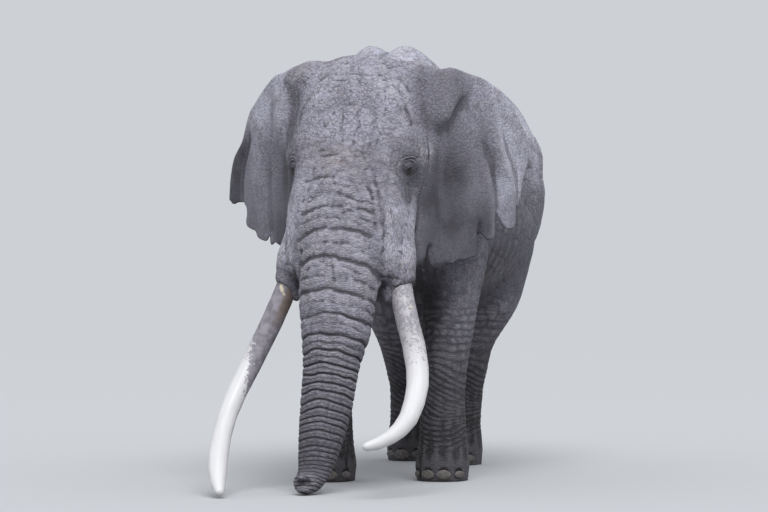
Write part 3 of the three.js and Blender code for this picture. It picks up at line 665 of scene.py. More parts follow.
def ear_lift(side, out, high):
    """How far forward the sheet stands: its belly, its folds and the muscle at its root."""
    lift = 0.06 * np.sin(math.pi * np.clip(out / 1.05, 0, 1))
    if side == "left":
        levels = (2.5, 2.63, 2.7, 2.78, 2.86, 2.93, 3.01, 3.1)
        brink = np.interp(high, levels, (-0.04, 0.0, 0.04, 0.09, 0.15, 0.21, 0.24, 0.22))
        soft = np.interp(high, [2.65, 2.8, 3.05], [0.035, 0.05, 0.14])
        lift += 0.07 * (1 - rise((out - brink) / soft, -1, 1)) * rise(high, 2.52, 2.72)
        lift -= 0.16 * (1 - rise(out, -0.16, 0.04)) * rise(high, 2.45, 2.65)
        lift -= 0.05 * dome(out - 0.1, 0.19) * dome(high - 2.26, 0.3)
        lift -= 0.022 * dome(out - 0.46, 0.08) * dome(high - 2.36, 0.15)
        for heights, outs, depth, width in (
            ((2.62, 2.49, 2.39, 2.28, 2.18, 2.05), (0.6, 0.65, 0.71, 0.77, 0.81, 0.82), 0.022, 0.05),
            ((2.56, 2.44, 2.35, 2.26, 2.15, 2.05), (0.49, 0.55, 0.6, 0.65, 0.68, 0.69), -0.03, 0.065),
            ((2.6, 2.49, 2.39, 2.28, 2.18, 2.05), (0.71, 0.76, 0.82, 0.87, 0.9, 0.9), -0.009, 0.032),
            ((2.7, 2.6, 2.49, 2.39, 2.28), (0.84, 0.88, 0.91, 0.93, 0.93), 0.008, 0.03),
        ):
            line = np.interp(high, heights[::-1], outs[::-1])
            lift += depth * dome(out - line, width) * fall(high, heights[0] - 0.16, heights[0] + 0.2)
        slot = np.interp(high, [1.89, 2.06, 2.16, 2.27, 2.39], [0.63, 0.645, 0.63, 0.6, 0.56])
        lift -= 0.05 * dome(out - slot - 0.015, 0.03) * fall(high, 2.2, 2.42)
        lift -= 0.04 * dome(out - 0.435, 0.028) * fall(high, 1.86, 2.0)
        sway = 0.8 * np.sin(high * 5 + 1) + 0.9 * np.sin(out * 9)
        lift += 0.0025 * np.sin(out * 30 + sway) * fall(high, 1.75, 2.2) * fall(out, 0.4, 0.5)
        lift += 0.0008 * np.sin(out * 67 + 2 * sway) * fall(high, 1.65, 1.95) * fall(out, 0.4, 0.5)
    else:
        crease = np.interp(high, [2.08, 2.27, 2.38, 2.48, 2.58, 2.68], [0.74, 0.72, 0.68, 0.62, 0.57, 0.56])
        past = out - crease
        lift -= 0.045 * dome(past, 0.05) * fall(high, 2.5, 2.72)
        lift += 0.02 * dome(past - 0.16, 0.08) * fall(high, 2.4, 2.6)
        lift += 0.02 * dome(out - 0.42, 0.1) * dome(high - 2.28, 0.3)
        lift -= 0.018 * dome(out - 0.24, 0.07) * fall(high, 2.3, 2.6)
        lift -= 0.04 * dome(out - 0.02, 0.09) * dome(high - 2.28, 0.24)
        lift += 0.03 * dome(out - 0.06, 0.09) * rise(high, 2.5, 2.7) * fall(high, 2.9, 3.1)
        lift -= 0.15 * (1 - rise(out, -0.18, 0.03)) * rise(high, 2.45, 2.65)
        sway = 0.9 * np.sin(high * 6) + 0.8 * np.sin(out * 8 + 1)
        lift += 0.0045 * np.sin(out * 27 + sway) * fall(high, 1.95, 2.35)
        lift += 0.0008 * np.sin(out * 61 + 2 * sway) * fall(high, 1.85, 2.1)
    return lift


def inside(loop, points):
    """Whether each flat point lies within the loop."""
    held = np.zeros(len(points), dtype=bool)
    for (a, b), (c, d) in zip(loop, np.roll(loop, -1, axis=0)):
        if b != d:
            held ^= ((b > points[:, 1]) != (d > points[:, 1])) & (
                points[:, 0] < a + (points[:, 1] - b) / (d - b) * (c - a)
            )
    return held


def ear_sheet(side):
    """One ear as a closed sheet: an even flat net cut to the hem, then given its folds and thickness."""
    cell = 0.0115
    hem = smooth_loop(ear_hems[side])
    low, high = hem.min(axis=0), hem.max(axis=0)
    columns, rows = np.ceil((high - low) / cell).astype(int) + 2
    corner = low - cell
    # The tiles of the net that lie within the hem, each as the numbers of its four corners.
    tile_x, tile_z = np.meshgrid(np.arange(columns), np.arange(rows), indexing="ij")
    tiles = np.stack([tile_x.ravel(), tile_z.ravel()], axis=1)
    tiles = tiles[inside(hem, corner + (tiles + 0.5) * cell)]
    quads = (tiles[:, None, :] + np.array(((0, 0), (1, 0), (1, 1), (0, 1)))[None]) @ np.array((rows + 2, 1))
    used, quads = np.unique(quads, return_inverse=True)
    quads = quads.reshape(-1, 4)
    flat = corner + np.stack([used // (rows + 2), used % (rows + 2)], axis=1) * cell
    # Corners at the border are pulled to the hem, and the others even out between them.
    links = np.vstack([quads[:, [i, (i + 1) % 4]] for i in range(4)])
    single, first, counts = np.unique(np.sort(links, axis=1), axis=0, return_index=True, return_counts=True)
    border = links[first[counts == 1]]
    at_rim = np.zeros(len(flat), dtype=bool)
    at_rim[border.ravel()] = True
    for spot in np.flatnonzero(at_rim):
        flat[spot] = hem[np.argmin(((hem - flat[spot]) ** 2).sum(axis=1))]
    flat = relax(flat, single, np.where(at_rim, 0.0, 0.5), 12)
    # The sheet thins from its root to the hem.
    deep = np.array([math.sqrt(((hem - spot) ** 2).sum(axis=1).min()) for spot in flat])
    deep[at_rim] = 0
    out, tall = flat.T
    thick = 0.006 + 0.004 * rise(deep, 0.01, 0.2) + 0.03 * (1 - rise(out, -0.05, 0.2)) * rise(deep, 0.0, 0.05)
    thick = thick * np.where(deep > 0, 0.75 + 0.25 * rise(deep, 0.0, 0.02), 0.42)
    root_x, root_y, sweep = ear_roots[side]
    hand = hands[side]
    outward = np.array((hand * math.cos(sweep), math.sin(sweep), 0))
    facing = np.array((hand * math.sin(sweep), -math.cos(sweep), 0))
    lift = ear_lift(side, out, tall)
    made = bmesh.new()
    layers = []
    for turn in (1, -1):
        sheet = np.array(home) + np.array((root_x, root_y, 0)) + outward * out[:, None]
        sheet = sheet + facing * (lift + turn * thick)[:, None]
        sheet[:, 2] += tall
        layers.append([made.verts.new(spot) for spot in sheet])
    front, back = layers
    for quad in quads:
        made.faces.new([front[i] for i in quad])
        made.faces.new([back[i] for i in quad[::-1]])
    for a, b in border:
        made.faces.new((front[b], front[a], back[a], back[b]))
    bmesh.ops.recalc_face_normals(made, faces=made.faces)
    return made


def keys(mesh):
    """A whole number for each point of a mesh, the same wherever the same point turns up."""
    # Places are counted in steps of 5 micrometres, and the large factors keep the three axes apart.
    whole = np.round(read(mesh.vertices, "co", 3, np.float32).astype(float) * 2e5).astype(np.int64)
    return whole @ np.array((1, 2000003, 4000037000003))


ear_keys = []
body_keys = keys(skin_mesh)
for side in hands:
    ear = object_of(f"ear_sheet_{side}", ear_sheet(side))
    ear_keys.append(keys(ear.data))
    skin_mesh = change(skin, "BOOLEAN", operation="UNION", solver="MANIFOLD", object=ear)
    bpy.data.objects.remove(ear)

# Where ear meets head the skin runs on without a step.
edges = edges_of(skin_mesh)
skin_keys = keys(skin_mesh)
on_ear = np.isin(skin_keys, np.concatenate(ear_keys))
seam = (~on_ear & ~np.isin(skin_keys, body_keys)).astype(float)
near = np.clip(spread(seam, edges, 14) * 9, 0, 1)
places = relax(places_of(skin_mesh), edges, 0.8 * near, 24)
high_up = rise(places[:, 2], 2.45, 2.65)
wider = np.clip(spread(seam, edges, 60) * 22, 0, 1) * high_up
place(skin_mesh, relax(places, edges, 0.85 * wider, 70))
ear_share = spread(on_ear.astype(float), edges, 4)


def hollows(mesh, edges, passes):
    """How sunken each place is against the skin round it, in metres."""
    places = places_of(mesh)
    settled = relax(places, edges, np.full(len(places), 0.7), passes)
    return ((settled - places) * normals_of(mesh)).sum(axis=1)


sunken = spread(hollows(skin_mesh, edges, 14), edges, 1)


def keep(mesh, name, values):
    """Stores one value, or three, for each point of the skin."""
    flat = np.ascontiguousarray(values, dtype=np.float32).ravel()
    kind, slot = ("FLOAT", "value") if values.ndim == 1 else ("FLOAT_VECTOR", "vector")
    mesh.attributes.new(name, kind, "POINT").data.foreach_set(slot, flat)


keep(skin_mesh, "ear", ear_share)
keep(skin_mesh, "sunken", sunken * 200)  # in steps of 5 mm
skin_mesh.calc_loop_triangles()
most_triangles = 194000
skin_mesh = change(skin, "DECIMATE", ratio=min(1.0, most_triangles / len(skin_mesh.loop_triangles)))

# ------------------------------
# The hide: thick grey skin, cracked into a fine net of creases, dusted pale where mud has dried on
# the forehead, back and shoulders, and darker low on the legs and trunk, partly with painted shade.

places = places_of(skin_mesh)
normals = normals_of(skin_mesh)
x, y, z = places.T
on_ear = read(skin_mesh.attributes["ear"].data, "value", 1)[:, 0]
off_ear = 1 - on_ear
wide = np.abs(x)
trunk = rise(-y, 0.85, 1.05) * fall(wide, 0.32, 0.42) * off_ear
legs = fall(z, 1.05, 1.45) * rise(y, -0.9, -0.75)
sheath = rise(-y, 0.6, 0.8) * rise(wide, 0.3, 0.38) * fall(z, 2.05, 2.25) * off_ear
keep(skin_mesh, "level_folds", np.clip(np.maximum(trunk, legs) * (1 - sheath), 0, 1))
keep(skin_mesh, "upright_folds", np.clip(sheath + 0.8 * on_ear * fall(z, 2.0, 2.4), 0, 1))
bag, bagged = leg_bags(places)
keep(skin_mesh, "rings", np.where(trunk > bagged, (trunk_ring(places) + 1) / 2, bag))
ringed = crease_share(places) * trunk * fall(z, 1.45, 2.0) * (0.4 + 0.6 * fall(z, 1.2, 1.6))
keep(skin_mesh, "ringed", np.maximum(ringed, (0.5 + 0.5 * fall(z, 0.7, 0.9)) * bagged))
forehead = rise(-y, 0.35, 0.6) * rise(z, 2.35, 2.75) * fall(wide, 0.34, 0.5) * off_ear
back = rise(normals[:, 2], -0.5, 0.22) * rise(z, 2.0, 2.6) * rise(y, -0.45, -0.2) * off_ear
bridge = rise(-y, 0.8, 1.0) * rise(z, 1.5, 1.9) * fall(z, 2.3, 2.6) * off_ear
dust = np.max([
    0.94 * forehead,
    1.5 * back,
    0.55 * bridge,
    1.2 * sheath * rise(z, 1.45, 1.7),
    0.6 * trunk * rise(z, 0.8, 1.4),
], axis=0)


def ear_place(side, places):
    """How far out from its root, and how high, each place lies on an ear."""
    root_x, root_y, sweep = ear_roots[side]
    out = (places[:, 0] - root_x) * hands[side] * math.cos(sweep) + (places[:, 1] - root_y) * math.sin(sweep)
    return out, places[:, 2]


out, tall = ear_place("left", places)
left_ear = on_ear * (x > 0)
dust += left_ear * (0.95 * rise(out, 0.5, 0.68) * rise(tall, 1.9, 2.2) + 0.34)
dust += left_ear * 0.6 * rise(tall, 2.6, 3.0) * rise(out, 0.16, 0.36)
# Painted shade on the left ear: in its hollows, along the head's edge over its root, at the top of its root
# and low on it.
painted_shade = left_ear * (
    0.68 * dome(out - 0.1, 0.22) * dome(tall - 2.22, 0.34)
    + 0.45 * dome(out - 0.5, 0.14) * dome(tall - 2.08, 0.26)
    + 0.6 * dome(out - 0.2, 0.15) * dome(tall - 2.32, 0.2)
    + 0.55 * fall(out, -0.04, 0.06) * rise(tall, 1.95, 2.1) * fall(tall, 2.65, 2.85)
    + 0.3 * fall(out, 0.1, 0.28) * rise(tall, 2.5, 2.7)
    + 0.7 * fall(tall, 1.9, 2.2) * fall(out, 0.5, 0.62)
)
out, tall = ear_place("right", places)
right_ear = on_ear * (x < 0)
margin = out - np.interp(tall, (2.08, 2.27, 2.38, 2.48, 2.58, 2.68), (0.76, 0.74, 0.7, 0.64, 0.59, 0.6))
dust += right_ear * (1.15 * rise(tall, 2.45, 2.8) + 0.35 * dome(out - 0.42, 0.08) * dome(tall - 2.3, 0.25))
# Painted shade on the right ear: along its outer margin, near its root and low down.
painted_shade += right_ear * (
    0.95 * rise(margin, -0.01, 0.04) * fall(tall, 2.5, 2.72)
    + 0.55 * fall(out, 0.05, 0.22) * fall(tall, 2.3, 2.6)
    + 0.3 * fall(tall, 1.9, 2.1)
)
keep(skin_mesh, "dust", np.clip(dust + 0.25 * drift(places, 0.3, 41), 0, 1.3))
# Painted shade under the belly and chest, between the forelegs.
painted_underside_shade = fall(z, 1.25, 1.95) * rise(y, -0.75, -0.5) * fall(wide, 0.4, 0.62)
painted_underside_shade *= 0.85 * (1 - 0.6 * rise(y, 1.2, 1.6))
# Darker towards the ground on the legs and trunk, partly painted shade, and painted shade on the faces that
# turn downwards, low on the rear half of the body and under the belly.
low_dark_and_shade = np.max([
    mix(0.86 * fall(z, 0.6, 1.65) + 0.26 * fall(z, 0.2, 0.85), 0.66 * fall(z, 0.35, 1.45), trunk),
    0.7 * rise(-normals[:, 2], 0.1, 0.8),
    0.54 * rise(y, 0.1, 0.5) * fall(z, 1.5, 2.2),
    painted_underside_shade,
], axis=0)
low_dark_and_shade *= 1 - 0.4 * rise(y, 0.9, 1.4) * rise(z, 0.75, 1.05)
# Painted shade round the eyes: on them, and below and behind them.
for side, hand in hands.items():
    for share, off, radii in (
        (0.78, (0.02, 0.05, -0.045), (0.09, 0.07, 0.085)),
        (1.1, (0, 0, 0), (0.06, 0.06, 0.04)),
        (0.4, (0.05, 0.15, -0.12), (0.1, 0.11, 0.14)),
    ):
        painted_shade += share * swell(places, eye_centres[side] + np.array(off) * (hand, 1, 1), radii)
keep(skin_mesh, "low_dark_and_shade", np.clip(low_dark_and_shade + 0.08 * drift(places, 0.25, 42), 0, 1.08))
keep(skin_mesh, "painted_shade", np.clip(painted_shade, 0, 1))
bridge_top = swell(places, (-0.03, -0.82, 2.43), (0.2, 0.3, 0.1))
keep(skin_mesh, "earth", np.clip(0.42 * bridge_top * (1 + drift(places, 0.05, 43)), 0, 0.6))
# Painted shade on the low faces that turn downwards.
low_facing = 0.5 * rise(-normals[:, 2], 0.2, 0.8) * fall(z, 1.4, 1.9) * fall(y, 1.0, 1.4)
keep(skin_mesh, "painted_underside_shade", np.maximum(painted_underside_shade, low_facing))


def material(name, roughness):
    """A new material, its nodes and links, and its shader."""
    made = bpy.data.materials.new(name)
    made.use_nodes = True
    base = made.node_tree.nodes["Principled BSDF"]
    base.inputs["Roughness"].default_value = roughness
    return made, made.node_tree.nodes, made.node_tree.links, base


hide, nodes, links, shader = material("hide", 0.82)
shader.inputs["Specular IOR Level"].default_value = 0.35


def node(kind, **settings):
    made = nodes.new(kind)
    for name, value in settings.items():
        setattr(made, name, value)
    return made


def fed(made, values, ports=range(5), out=0):
    """Feeds a node with numbers, colours or other nodes' outputs, and gives its own output."""
    for port, value in zip(ports, values):
        if isinstance(value, bpy.types.NodeSocket):
            links.new(value, made.inputs[port])
        else:
            made.inputs[port].default_value = (*value, 1) if isinstance(value, tuple) else value
    return made.outputs[out]


def sum_of(kind, *values):
    return fed(node("ShaderNodeMath", operation=kind), values)


def times(first, *others):
    for value in others:
        first = sum_of("MULTIPLY", first, value)
    return first


def times_plus(first, second, third):
    return sum_of("MULTIPLY_ADD", first, second, third)


def ramp(value, low, high, from_value=0.0, to_value=1.0):
    made = node("ShaderNodeMapRange", interpolation_type="SMOOTHSTEP")
    return fed(made, (value, low, high, from_value, to_value))


def even(share, first, second):
    return fed(node("ShaderNodeMix", data_type="FLOAT"), (share, first, second), (0, 2, 3))


def blend(share, first, second):
    return fed(node("ShaderNodeMix", data_type="RGBA"), (share, first, second), (0, 6, 7), 2)


def coat(colour, *coats):
    """Lays coats over a first colour, each by its share, and gives the result to the shader."""
    for share, tint in coats:
        colour = blend(share, colour, tint)
    links.new(colour, shader.inputs["Base Color"])


def kept(name, kind="Fac"):
    return node("ShaderNodeAttribute", attribute_name=name).outputs[kind]


def clouds(where, size, detail=2.0, rough=0.5):
    ports = ("Vector", "Scale", "Detail", "Roughness")
    return fed(node("ShaderNodeTexNoise"), (where, 1 / size, detail, rough), ports)


def stretched(where, stretch):
    turn = node("ShaderNodeMapping")
    links.new(where, turn.inputs["Vector"])
    turn.inputs["Scale"].default_value = stretch
    return turn.outputs[0]


def emboss(height):
    """Raises the surface by a height in metres."""
    bump = node("ShaderNodeBump")
    bump.inputs["Distance"].default_value = 1.0
    links.new(height, bump.inputs["Height"])
    links.new(bump.outputs[0], shader.inputs["Normal"])


def object_place():
    return node("ShaderNodeTexCoord").outputs["Object"]


spot = object_place()
nudge = node("ShaderNodeVectorMath", operation="MULTIPLY_ADD")
links.new(clouds(spot, 0.06).node.outputs["Color"], nudge.inputs[0])
nudge.inputs[1].default_value = (0.03, 0.03, 0.03)
links.new(spot, nudge.inputs[2])
astray = nudge.outputs[0]


def cracks(stretch, size):
    """A net of creases round small pads of skin: 0 in the creases, rising over the pads."""
    cells = node("ShaderNodeTexVoronoi", feature="DISTANCE_TO_EDGE")
    return fed(cells, (stretched(astray, stretch), 1 / size), ("Vector", "Scale"), "Distance")


def drawn_out(stretch, size):
    """Clouds drawn out along the lie of the folds."""
    return clouds(stretched(spot, stretch), size, 3.0, 0.65)


def laid(plain, level, upright):
    """One of three patterns, by the lie of the folds."""
    return even(kept("upright_folds"), even(kept("level_folds"), plain, level), upright)


# The patterns: pads and cracks, grit and specks, patches, and the creases of the trunk and legs.
pads = laid(cracks((1, 1, 1.15), 0.034), cracks((0.8, 0.8, 2.3), 0.038), cracks((1.9, 1.9, 0.7), 0.034))
fine = even(kept("level_folds"), cracks((1, 1, 1), 0.013), cracks((0.8, 0.8, 1.9), 0.014))
crack = ramp(pads, 0.02, 0.22)
fine_crack = ramp(fine, 0.02, 0.25)
grit = clouds(spot, 0.009, 3.0, 0.6)
specks = laid(
    drawn_out((1, 1, 1.1), 0.022), drawn_out((0.7, 0.7, 2.2), 0.024), drawn_out((1.6, 1.6, 0.6), 0.024)
)
ear, dust, painted_shade, sunk = kept("ear"), kept("dust"), kept("painted_shade"), kept("sunken")
calm = ramp(ear, 0.1, 0.9, 1.0, 0.66)
mottle = ramp(ear, 0.1, 0.9, 1.0, 0.95)
patches = clouds(spot, 0.16, 3.0, 0.55)
broad = clouds(spot, 0.7)
ring_turn = times_plus(clouds(spot, 0.05), 0.1, kept("rings"))
ring_wave = sum_of("ABSOLUTE", sum_of("SINE", times(sum_of("SUBTRACT", ring_turn, 0.05), math.pi)))
ring_crack = times(ramp(ring_wave, 0.0, 0.42, 1.0, 0.0), kept("ringed"))

# The colours, from the bare hide up to the cracks.
tone = ramp(sum_of("ADD", times(patches, 0.6), times(broad, 0.4)), 0.36, 0.64)
dusty = times(dust, ramp(patches, 0.3, 0.62, 0.45, 1.0))
chalk = blend(ramp(dust, 0.85, 1.2), (0.555, 0.548, 0.685), (0.74, 0.745, 0.9))
flecks = times(ramp(specks, 0.53, 0.64), ramp(dust, 0.0, 0.9, 0.22, 0.85))
flecks = times(flecks, mottle, ramp(clouds(spot, 0.1, 3.0, 0.6), 0.4, 0.6, 0.25, 1.0))
brown = ramp(clouds(spot, 0.3, 3.0, 0.6), 0.6, 0.75, 0.0, 0.22)
# The tops of the folds are lighter, partly worn and partly painted highlight; less so low down, in painted
# shade and on the ears.
crest = times(ramp(sunk, -0.06, -0.45, 0.0, 0.5), ramp(kept("low_dark_and_shade"), 0.3, 1.0, 1.0, 0.34))
crest = times(crest, ramp(painted_shade, 0.25, 0.85, 1.0, 0.05), ramp(ear, 0.1, 0.9, 1.0, 0.25))
break_up = ramp(clouds(spot, 0.045), 0.38, 0.6)
coat(
    (0.205, 0.203, 0.25),
    (tone, (0.33, 0.325, 0.4)),
    (times(ear, 0.55), (0.33, 0.327, 0.405)),
    (times(dusty, 0.8), chalk),  # dried mud
    (flecks, (0.68, 0.64, 0.64)),
    (times(ramp(specks, 0.46, 0.36), 0.5, mottle), (0.14, 0.134, 0.16)),
    (brown, (0.23, 0.18, 0.145)),
    (kept("earth"), (0.33, 0.255, 0.205)),  # on the bridge of the nose
    # Painted shade in the ears' hollows, along the head's edges over the ears, and round the eyes.
    (times(painted_shade, ramp(patches, 0.36, 0.6, 0.7, 0.92)), (0.05, 0.049, 0.059)),  # ears and eyes
    # Darker low on the legs and trunk, partly painted shade, and painted shade on faces that turn downwards.
    (times(kept("low_dark_and_shade"), 0.93), (0.035, 0.034, 0.038)),  # legs and trunk
    # Painted shade on the belly and on the low faces that turn downwards.
    (times(kept("painted_underside_shade"), 0.8), (0.014, 0.014, 0.015)),  # the belly
    # Painted shade deep in the folds and hollows.
    (times(ramp(sunk, 0.04, 0.5, 0.0, 0.72), calm), (0.06, 0.055, 0.062)),  # deep in the folds
    # Painted highlight on the tops of the folds, together with wear.
    (crest, (0.56, 0.545, 0.61)),  # worn tops of the folds
    # Painted shade in the cracks round the pads, in the fine cracks, and in the creases of the trunk's rings
    # and the legs' folds.
    (times(sum_of("SUBTRACT", 1.0, crack), break_up, calm, 0.5), (0.095, 0.09, 0.105)),
    (times(sum_of("SUBTRACT", 1.0, fine_crack), 0.22), (0.11, 0.105, 0.12)),
    (times(ring_crack, 0.75), (0.04, 0.037, 0.042)),
)
# The relief, in metres.
relief = times(crack, times(calm, 0.0035))
for pattern, height in ((fine_crack, 0.0012), (grit, 0.0012), (specks, 0.003), (ring_crack, -0.003)):
    relief = times_plus(pattern, height, relief)
emboss(relief)

skin_mesh.materials.clear()
skin_mesh.materials.append(hide)
pick(skin)
bpy.ops.object.shade_smooth()
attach(skin, "root")
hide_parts(*flesh_nodes, "ear_left", "ear_right")

# ------------------------------
# The tusks: two long curved teeth of ivory, white and worn smooth below, stained grey and brown
# with earth and sap above, with chips near the lips and fine growth lines along them.

ivory, nodes, links, shader = material("ivory", 0.42)
spot = object_place()
specks = clouds(spot, 0.02, 4.0, 0.65)
grime = clouds(spot, 0.055, 3.0, 0.6)
grain = clouds(kept("grain", "Vector"), 0.008, 3.0, 0.6)
veins = clouds(kept("grain", "Vector"), 0.03)
edge = sum_of("ADD", kept("stain"), times_plus(specks, 0.42, -0.21))
edge = sum_of("ADD", edge, times_plus(grime, 0.3, -0.15))
stained = times(ramp(edge, -0.045, 0.05), kept("stain_depth"))
earth = blend(ramp(grime, 0.38, 0.62), (0.205, 0.192, 0.225), (0.33, 0.312, 0.365))
coat(
    (0.8, 0.8, 0.825),
    (ramp(veins, 0.35, 0.65), (0.86, 0.86, 0.885)),
    (kept("age"), (0.46, 0.44, 0.475)),
    (stained, blend(kept("sap"), earth, (0.175, 0.115, 0.07))),
    (kept("chip"), (0.78, 0.7, 0.54)),
)
links.new(even(stained, 0.4, 0.75), shader.inputs["Roughness"])
emboss(times_plus(kept("chip"), -0.002, times_plus(grain, 0.0006, times(veins, 0.0009))))


def rounded_copy(node_name, name, net, reach):
    """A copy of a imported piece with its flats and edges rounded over, at its full thickness."""
    piece = object_of(name, flesh_copy([node_name], 0.0))
    mesh = change(piece, "REMESH", mode="VOXEL", voxel_size=net)
    start = places_of(mesh)
    edges = edges_of(mesh)
    passes = max(8, int(2 * (reach / net) ** 2 / 0.9))
    share = min(0.95, 2 * reach ** 2 / (passes * net ** 2))
    settled = relax(start, edges, np.full(len(start), share), passes)
    place(mesh, settled)
    normals = normals_of(mesh)
    loss = spread(((start - settled) * normals).sum(axis=1), edges, passes * 3)
    place(mesh, settled + normals * loss[:, None])
    mesh.materials.clear()
    bpy.ops.object.shade_smooth()
    return piece


slices = 39  # along a tusk, to find its middle line
for side, hand in hands.items():
    tusk = rounded_copy(f"tusk_{side}", f"ivory_{side}", 0.0075, 0.024)
    ivory_mesh = tusk.data
    places = places_of(ivory_mesh)
    x, y, z = places.T
    steps = np.linspace(z.min(), z.max(), slices + 1)
    slot = np.clip(np.searchsorted(steps, z), 1, slices)
    middles = np.array([places[slot == n].mean(axis=0) for n in range(1, slices + 1)])
    heights = (steps[1:] + steps[:-1]) / 2
    core = np.stack([np.interp(z, heights, middles[:, axis]) for axis in range(3)], axis=1)
    off = places - core
    spin = np.arctan2(off[:, 0] * hand, -off[:, 1])
    front = rise(-y, 0.95, 0.99)
    keep(ivory_mesh, "grain", np.stack([np.cos(spin) * 0.08, np.sin(spin) * 0.08, z * 0.12], axis=1))
    if side == "right":
        stain = z - (0.92 + 0.24 * np.sin(spin))
        depth = np.full(len(z), 0.97)
        sap = rise(z, 1.1, 1.32) * rise(-np.sin(spin), 0.1, 0.6) * 0.7
        chip = stroke(x, z, ((-0.478, 1.475), (-0.466, 1.445)), 0.011) * front
        chip = np.maximum(chip, 0.8 * stroke(x, z, ((-0.455, 1.425), (-0.448, 1.412)), 0.006) * front)
    else:
        stain = np.interp(z, (0.7, 0.9, 1.1, 1.2, 1.3, 1.45), (-0.16, -0.075, -0.012, 0.012, -0.004, -0.014))
        stain += 0.02 * np.sin(spin)
        depth = np.full(len(z), 0.8)
        sap = rise(z, 1.22, 1.4) * rise(-np.sin(spin), 0.1, 0.6) * 0.6
        ragged = 0.7 + 0.6 * drift(places, 0.02, 53)
        chip = 0.75 * dome(x - 0.552, 0.013) * dome(z - 1.33, 0.01) * ragged * front
    keep(ivory_mesh, "stain", stain)
    keep(ivory_mesh, "stain_depth", depth)
    keep(ivory_mesh, "age", 0.75 * rise(z, 0.8, 1.25))
    keep(ivory_mesh, "sap", sap)
    keep(ivory_mesh, "chip", np.clip(chip * 1.6, 0, 1))
    wear = 0.0012 * drift(places, 0.09, 51) + 0.0006 * drift(places, 0.04, 52)
    if side == "right":
        wear += 0.008 * fall(z, 0.15, 0.45)
    else:
        wear += 0.01 * fall(x, 0.52, 0.66) * fall(z, 0.45, 0.6)
    place(ivory_mesh, places + normals_of(ivory_mesh) * wear[:, None])
    ivory_mesh.materials.append(ivory)
    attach(tusk, "root")
    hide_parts(f"tusk_{side}")

# ------------------------------
# The eyes: small wet dark balls, amber brown round the pupil, deep under the upper lids.

eyeball, nodes, links, shader = material("eyeball", 0.12)
shader.inputs["Specular IOR Level"].default_value = 0.3
shader.inputs["Coat Weight"].default_value = 0.12
shader.inputs["Coat Roughness"].default_value = 0.05
from_pupil = kept("from_pupil")
ray_pattern = clouds(object_place(), 0.002)
iris = blend(ray_pattern, (0.014, 0.007, 0.004), (0.036, 0.018, 0.009))
coat(
    (0.004, 0.004, 0.005),
    (ramp(from_pupil, 0.3, 0.36), iris),
    (ramp(from_pupil, 0.66, 0.8), (0.01, 0.007, 0.006)),
    (ramp(from_pupil, 0.9, 1.05), (0.022, 0.017, 0.016)),
)

for side, hand in hands.items():
    low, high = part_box(f"eye_{side}")
    # The ball fills its socket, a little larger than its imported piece, and its cornea bulges.
    radius = (high - low).length / 2 / math.sqrt(3) * 1.12
    gaze = Vector((hand * 0.8, -0.6, -0.05)).normalized()
    bpy.ops.object.select_all(action="DESELECT")
    bpy.ops.mesh.primitive_uv_sphere_add(segments=48, ring_count=32, radius=radius)
    ball = bpy.context.object
    ball.name = f"eyeball_{side}"
    turn = gaze.to_track_quat("Z", "Y").to_matrix()
    aim = []
    for corner in ball.data.vertices:
        if corner.co.z / radius > 0.8:
            corner.co.z += radius * 0.9 * (corner.co.z / radius - 0.8) ** 1.5
        aim.append(corner.co.z / radius)
        corner.co = turn @ corner.co + (low + high) / 2 + gaze * 0.001
    aim = np.array(aim)
    keep(ball.data, "from_pupil", np.sqrt(np.clip(1 - np.clip(aim, -1, 1) ** 2, 0, 1)) + (aim < 0))
    ball.data.materials.append(eyeball)
    bpy.ops.object.shade_smooth()
    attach(ball, "root")
    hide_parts(f"eye_{side}")

# ------------------------------
# The toenails: blunt plates of horn at the front rim of each sole, four before and three behind,
# scuffed pale by walking and streaked from top to bottom.

horn, nodes, links, shader = material("horn", 0.6)
spot = object_place()
streaks = clouds(stretched(spot, (1, 1, 0.15)), 0.006, 3.0, 0.6)
scuffs = clouds(spot, 0.018, 3.0, 0.6)
coat(
    (0.11, 0.1, 0.096),
    (ramp(streaks, 0.35, 0.65), (0.205, 0.188, 0.178)),
    (ramp(scuffs, 0.5, 0.66, 0.0, 0.6), (0.06, 0.056, 0.056)),
)
emboss(times_plus(streaks, 0.0012, times(scuffs, 0.001)))

for name in sorted(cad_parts):
    if name.startswith("nail_"):
        nail = rounded_copy(name, name.replace("nail_", "toenail_"), 0.004, 0.013)
        foot = middle("foot_" + name[5:].rsplit("_", 1)[0]) - home
        places = places_of(nail.data)
        centre = (places.min(axis=0) + places.max(axis=0)) / 2
        outward = np.array((centre[0] - foot.x, centre[1] - foot.y, 0))
        outward /= np.linalg.norm(outward)
        aside = np.array((-outward[1], outward[0], 0))
        off = places - centre
        # Each plate is spread sideways, pressed flatter to the foot and let down a little.
        spreading = 0.42 * (off @ aside) * (1 - 0.25 * rise(off[:, 2], 0.0, 0.04))
        places = places + aside * spreading[:, None] - outward * (0.45 * off @ outward + 0.003)[:, None]
        places[:, 2] -= 0.012 + 0.1 * off[:, 2]
        place(nail.data, places)
        nail.data.materials.append(horn)
        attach(nail, "root")
        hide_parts(name)

# ------------------------------
# The tail's bristles: stiff black hairs in two rows down the end of the dock, long at the tip.

bristle, nodes, links, shader = material("bristle", 0.5)
hair_tone = ramp(clouds(object_place(), 0.012), 0.35, 0.65)
coat((0.016, 0.014, 0.014), (hair_tone, (0.048, 0.04, 0.036)))


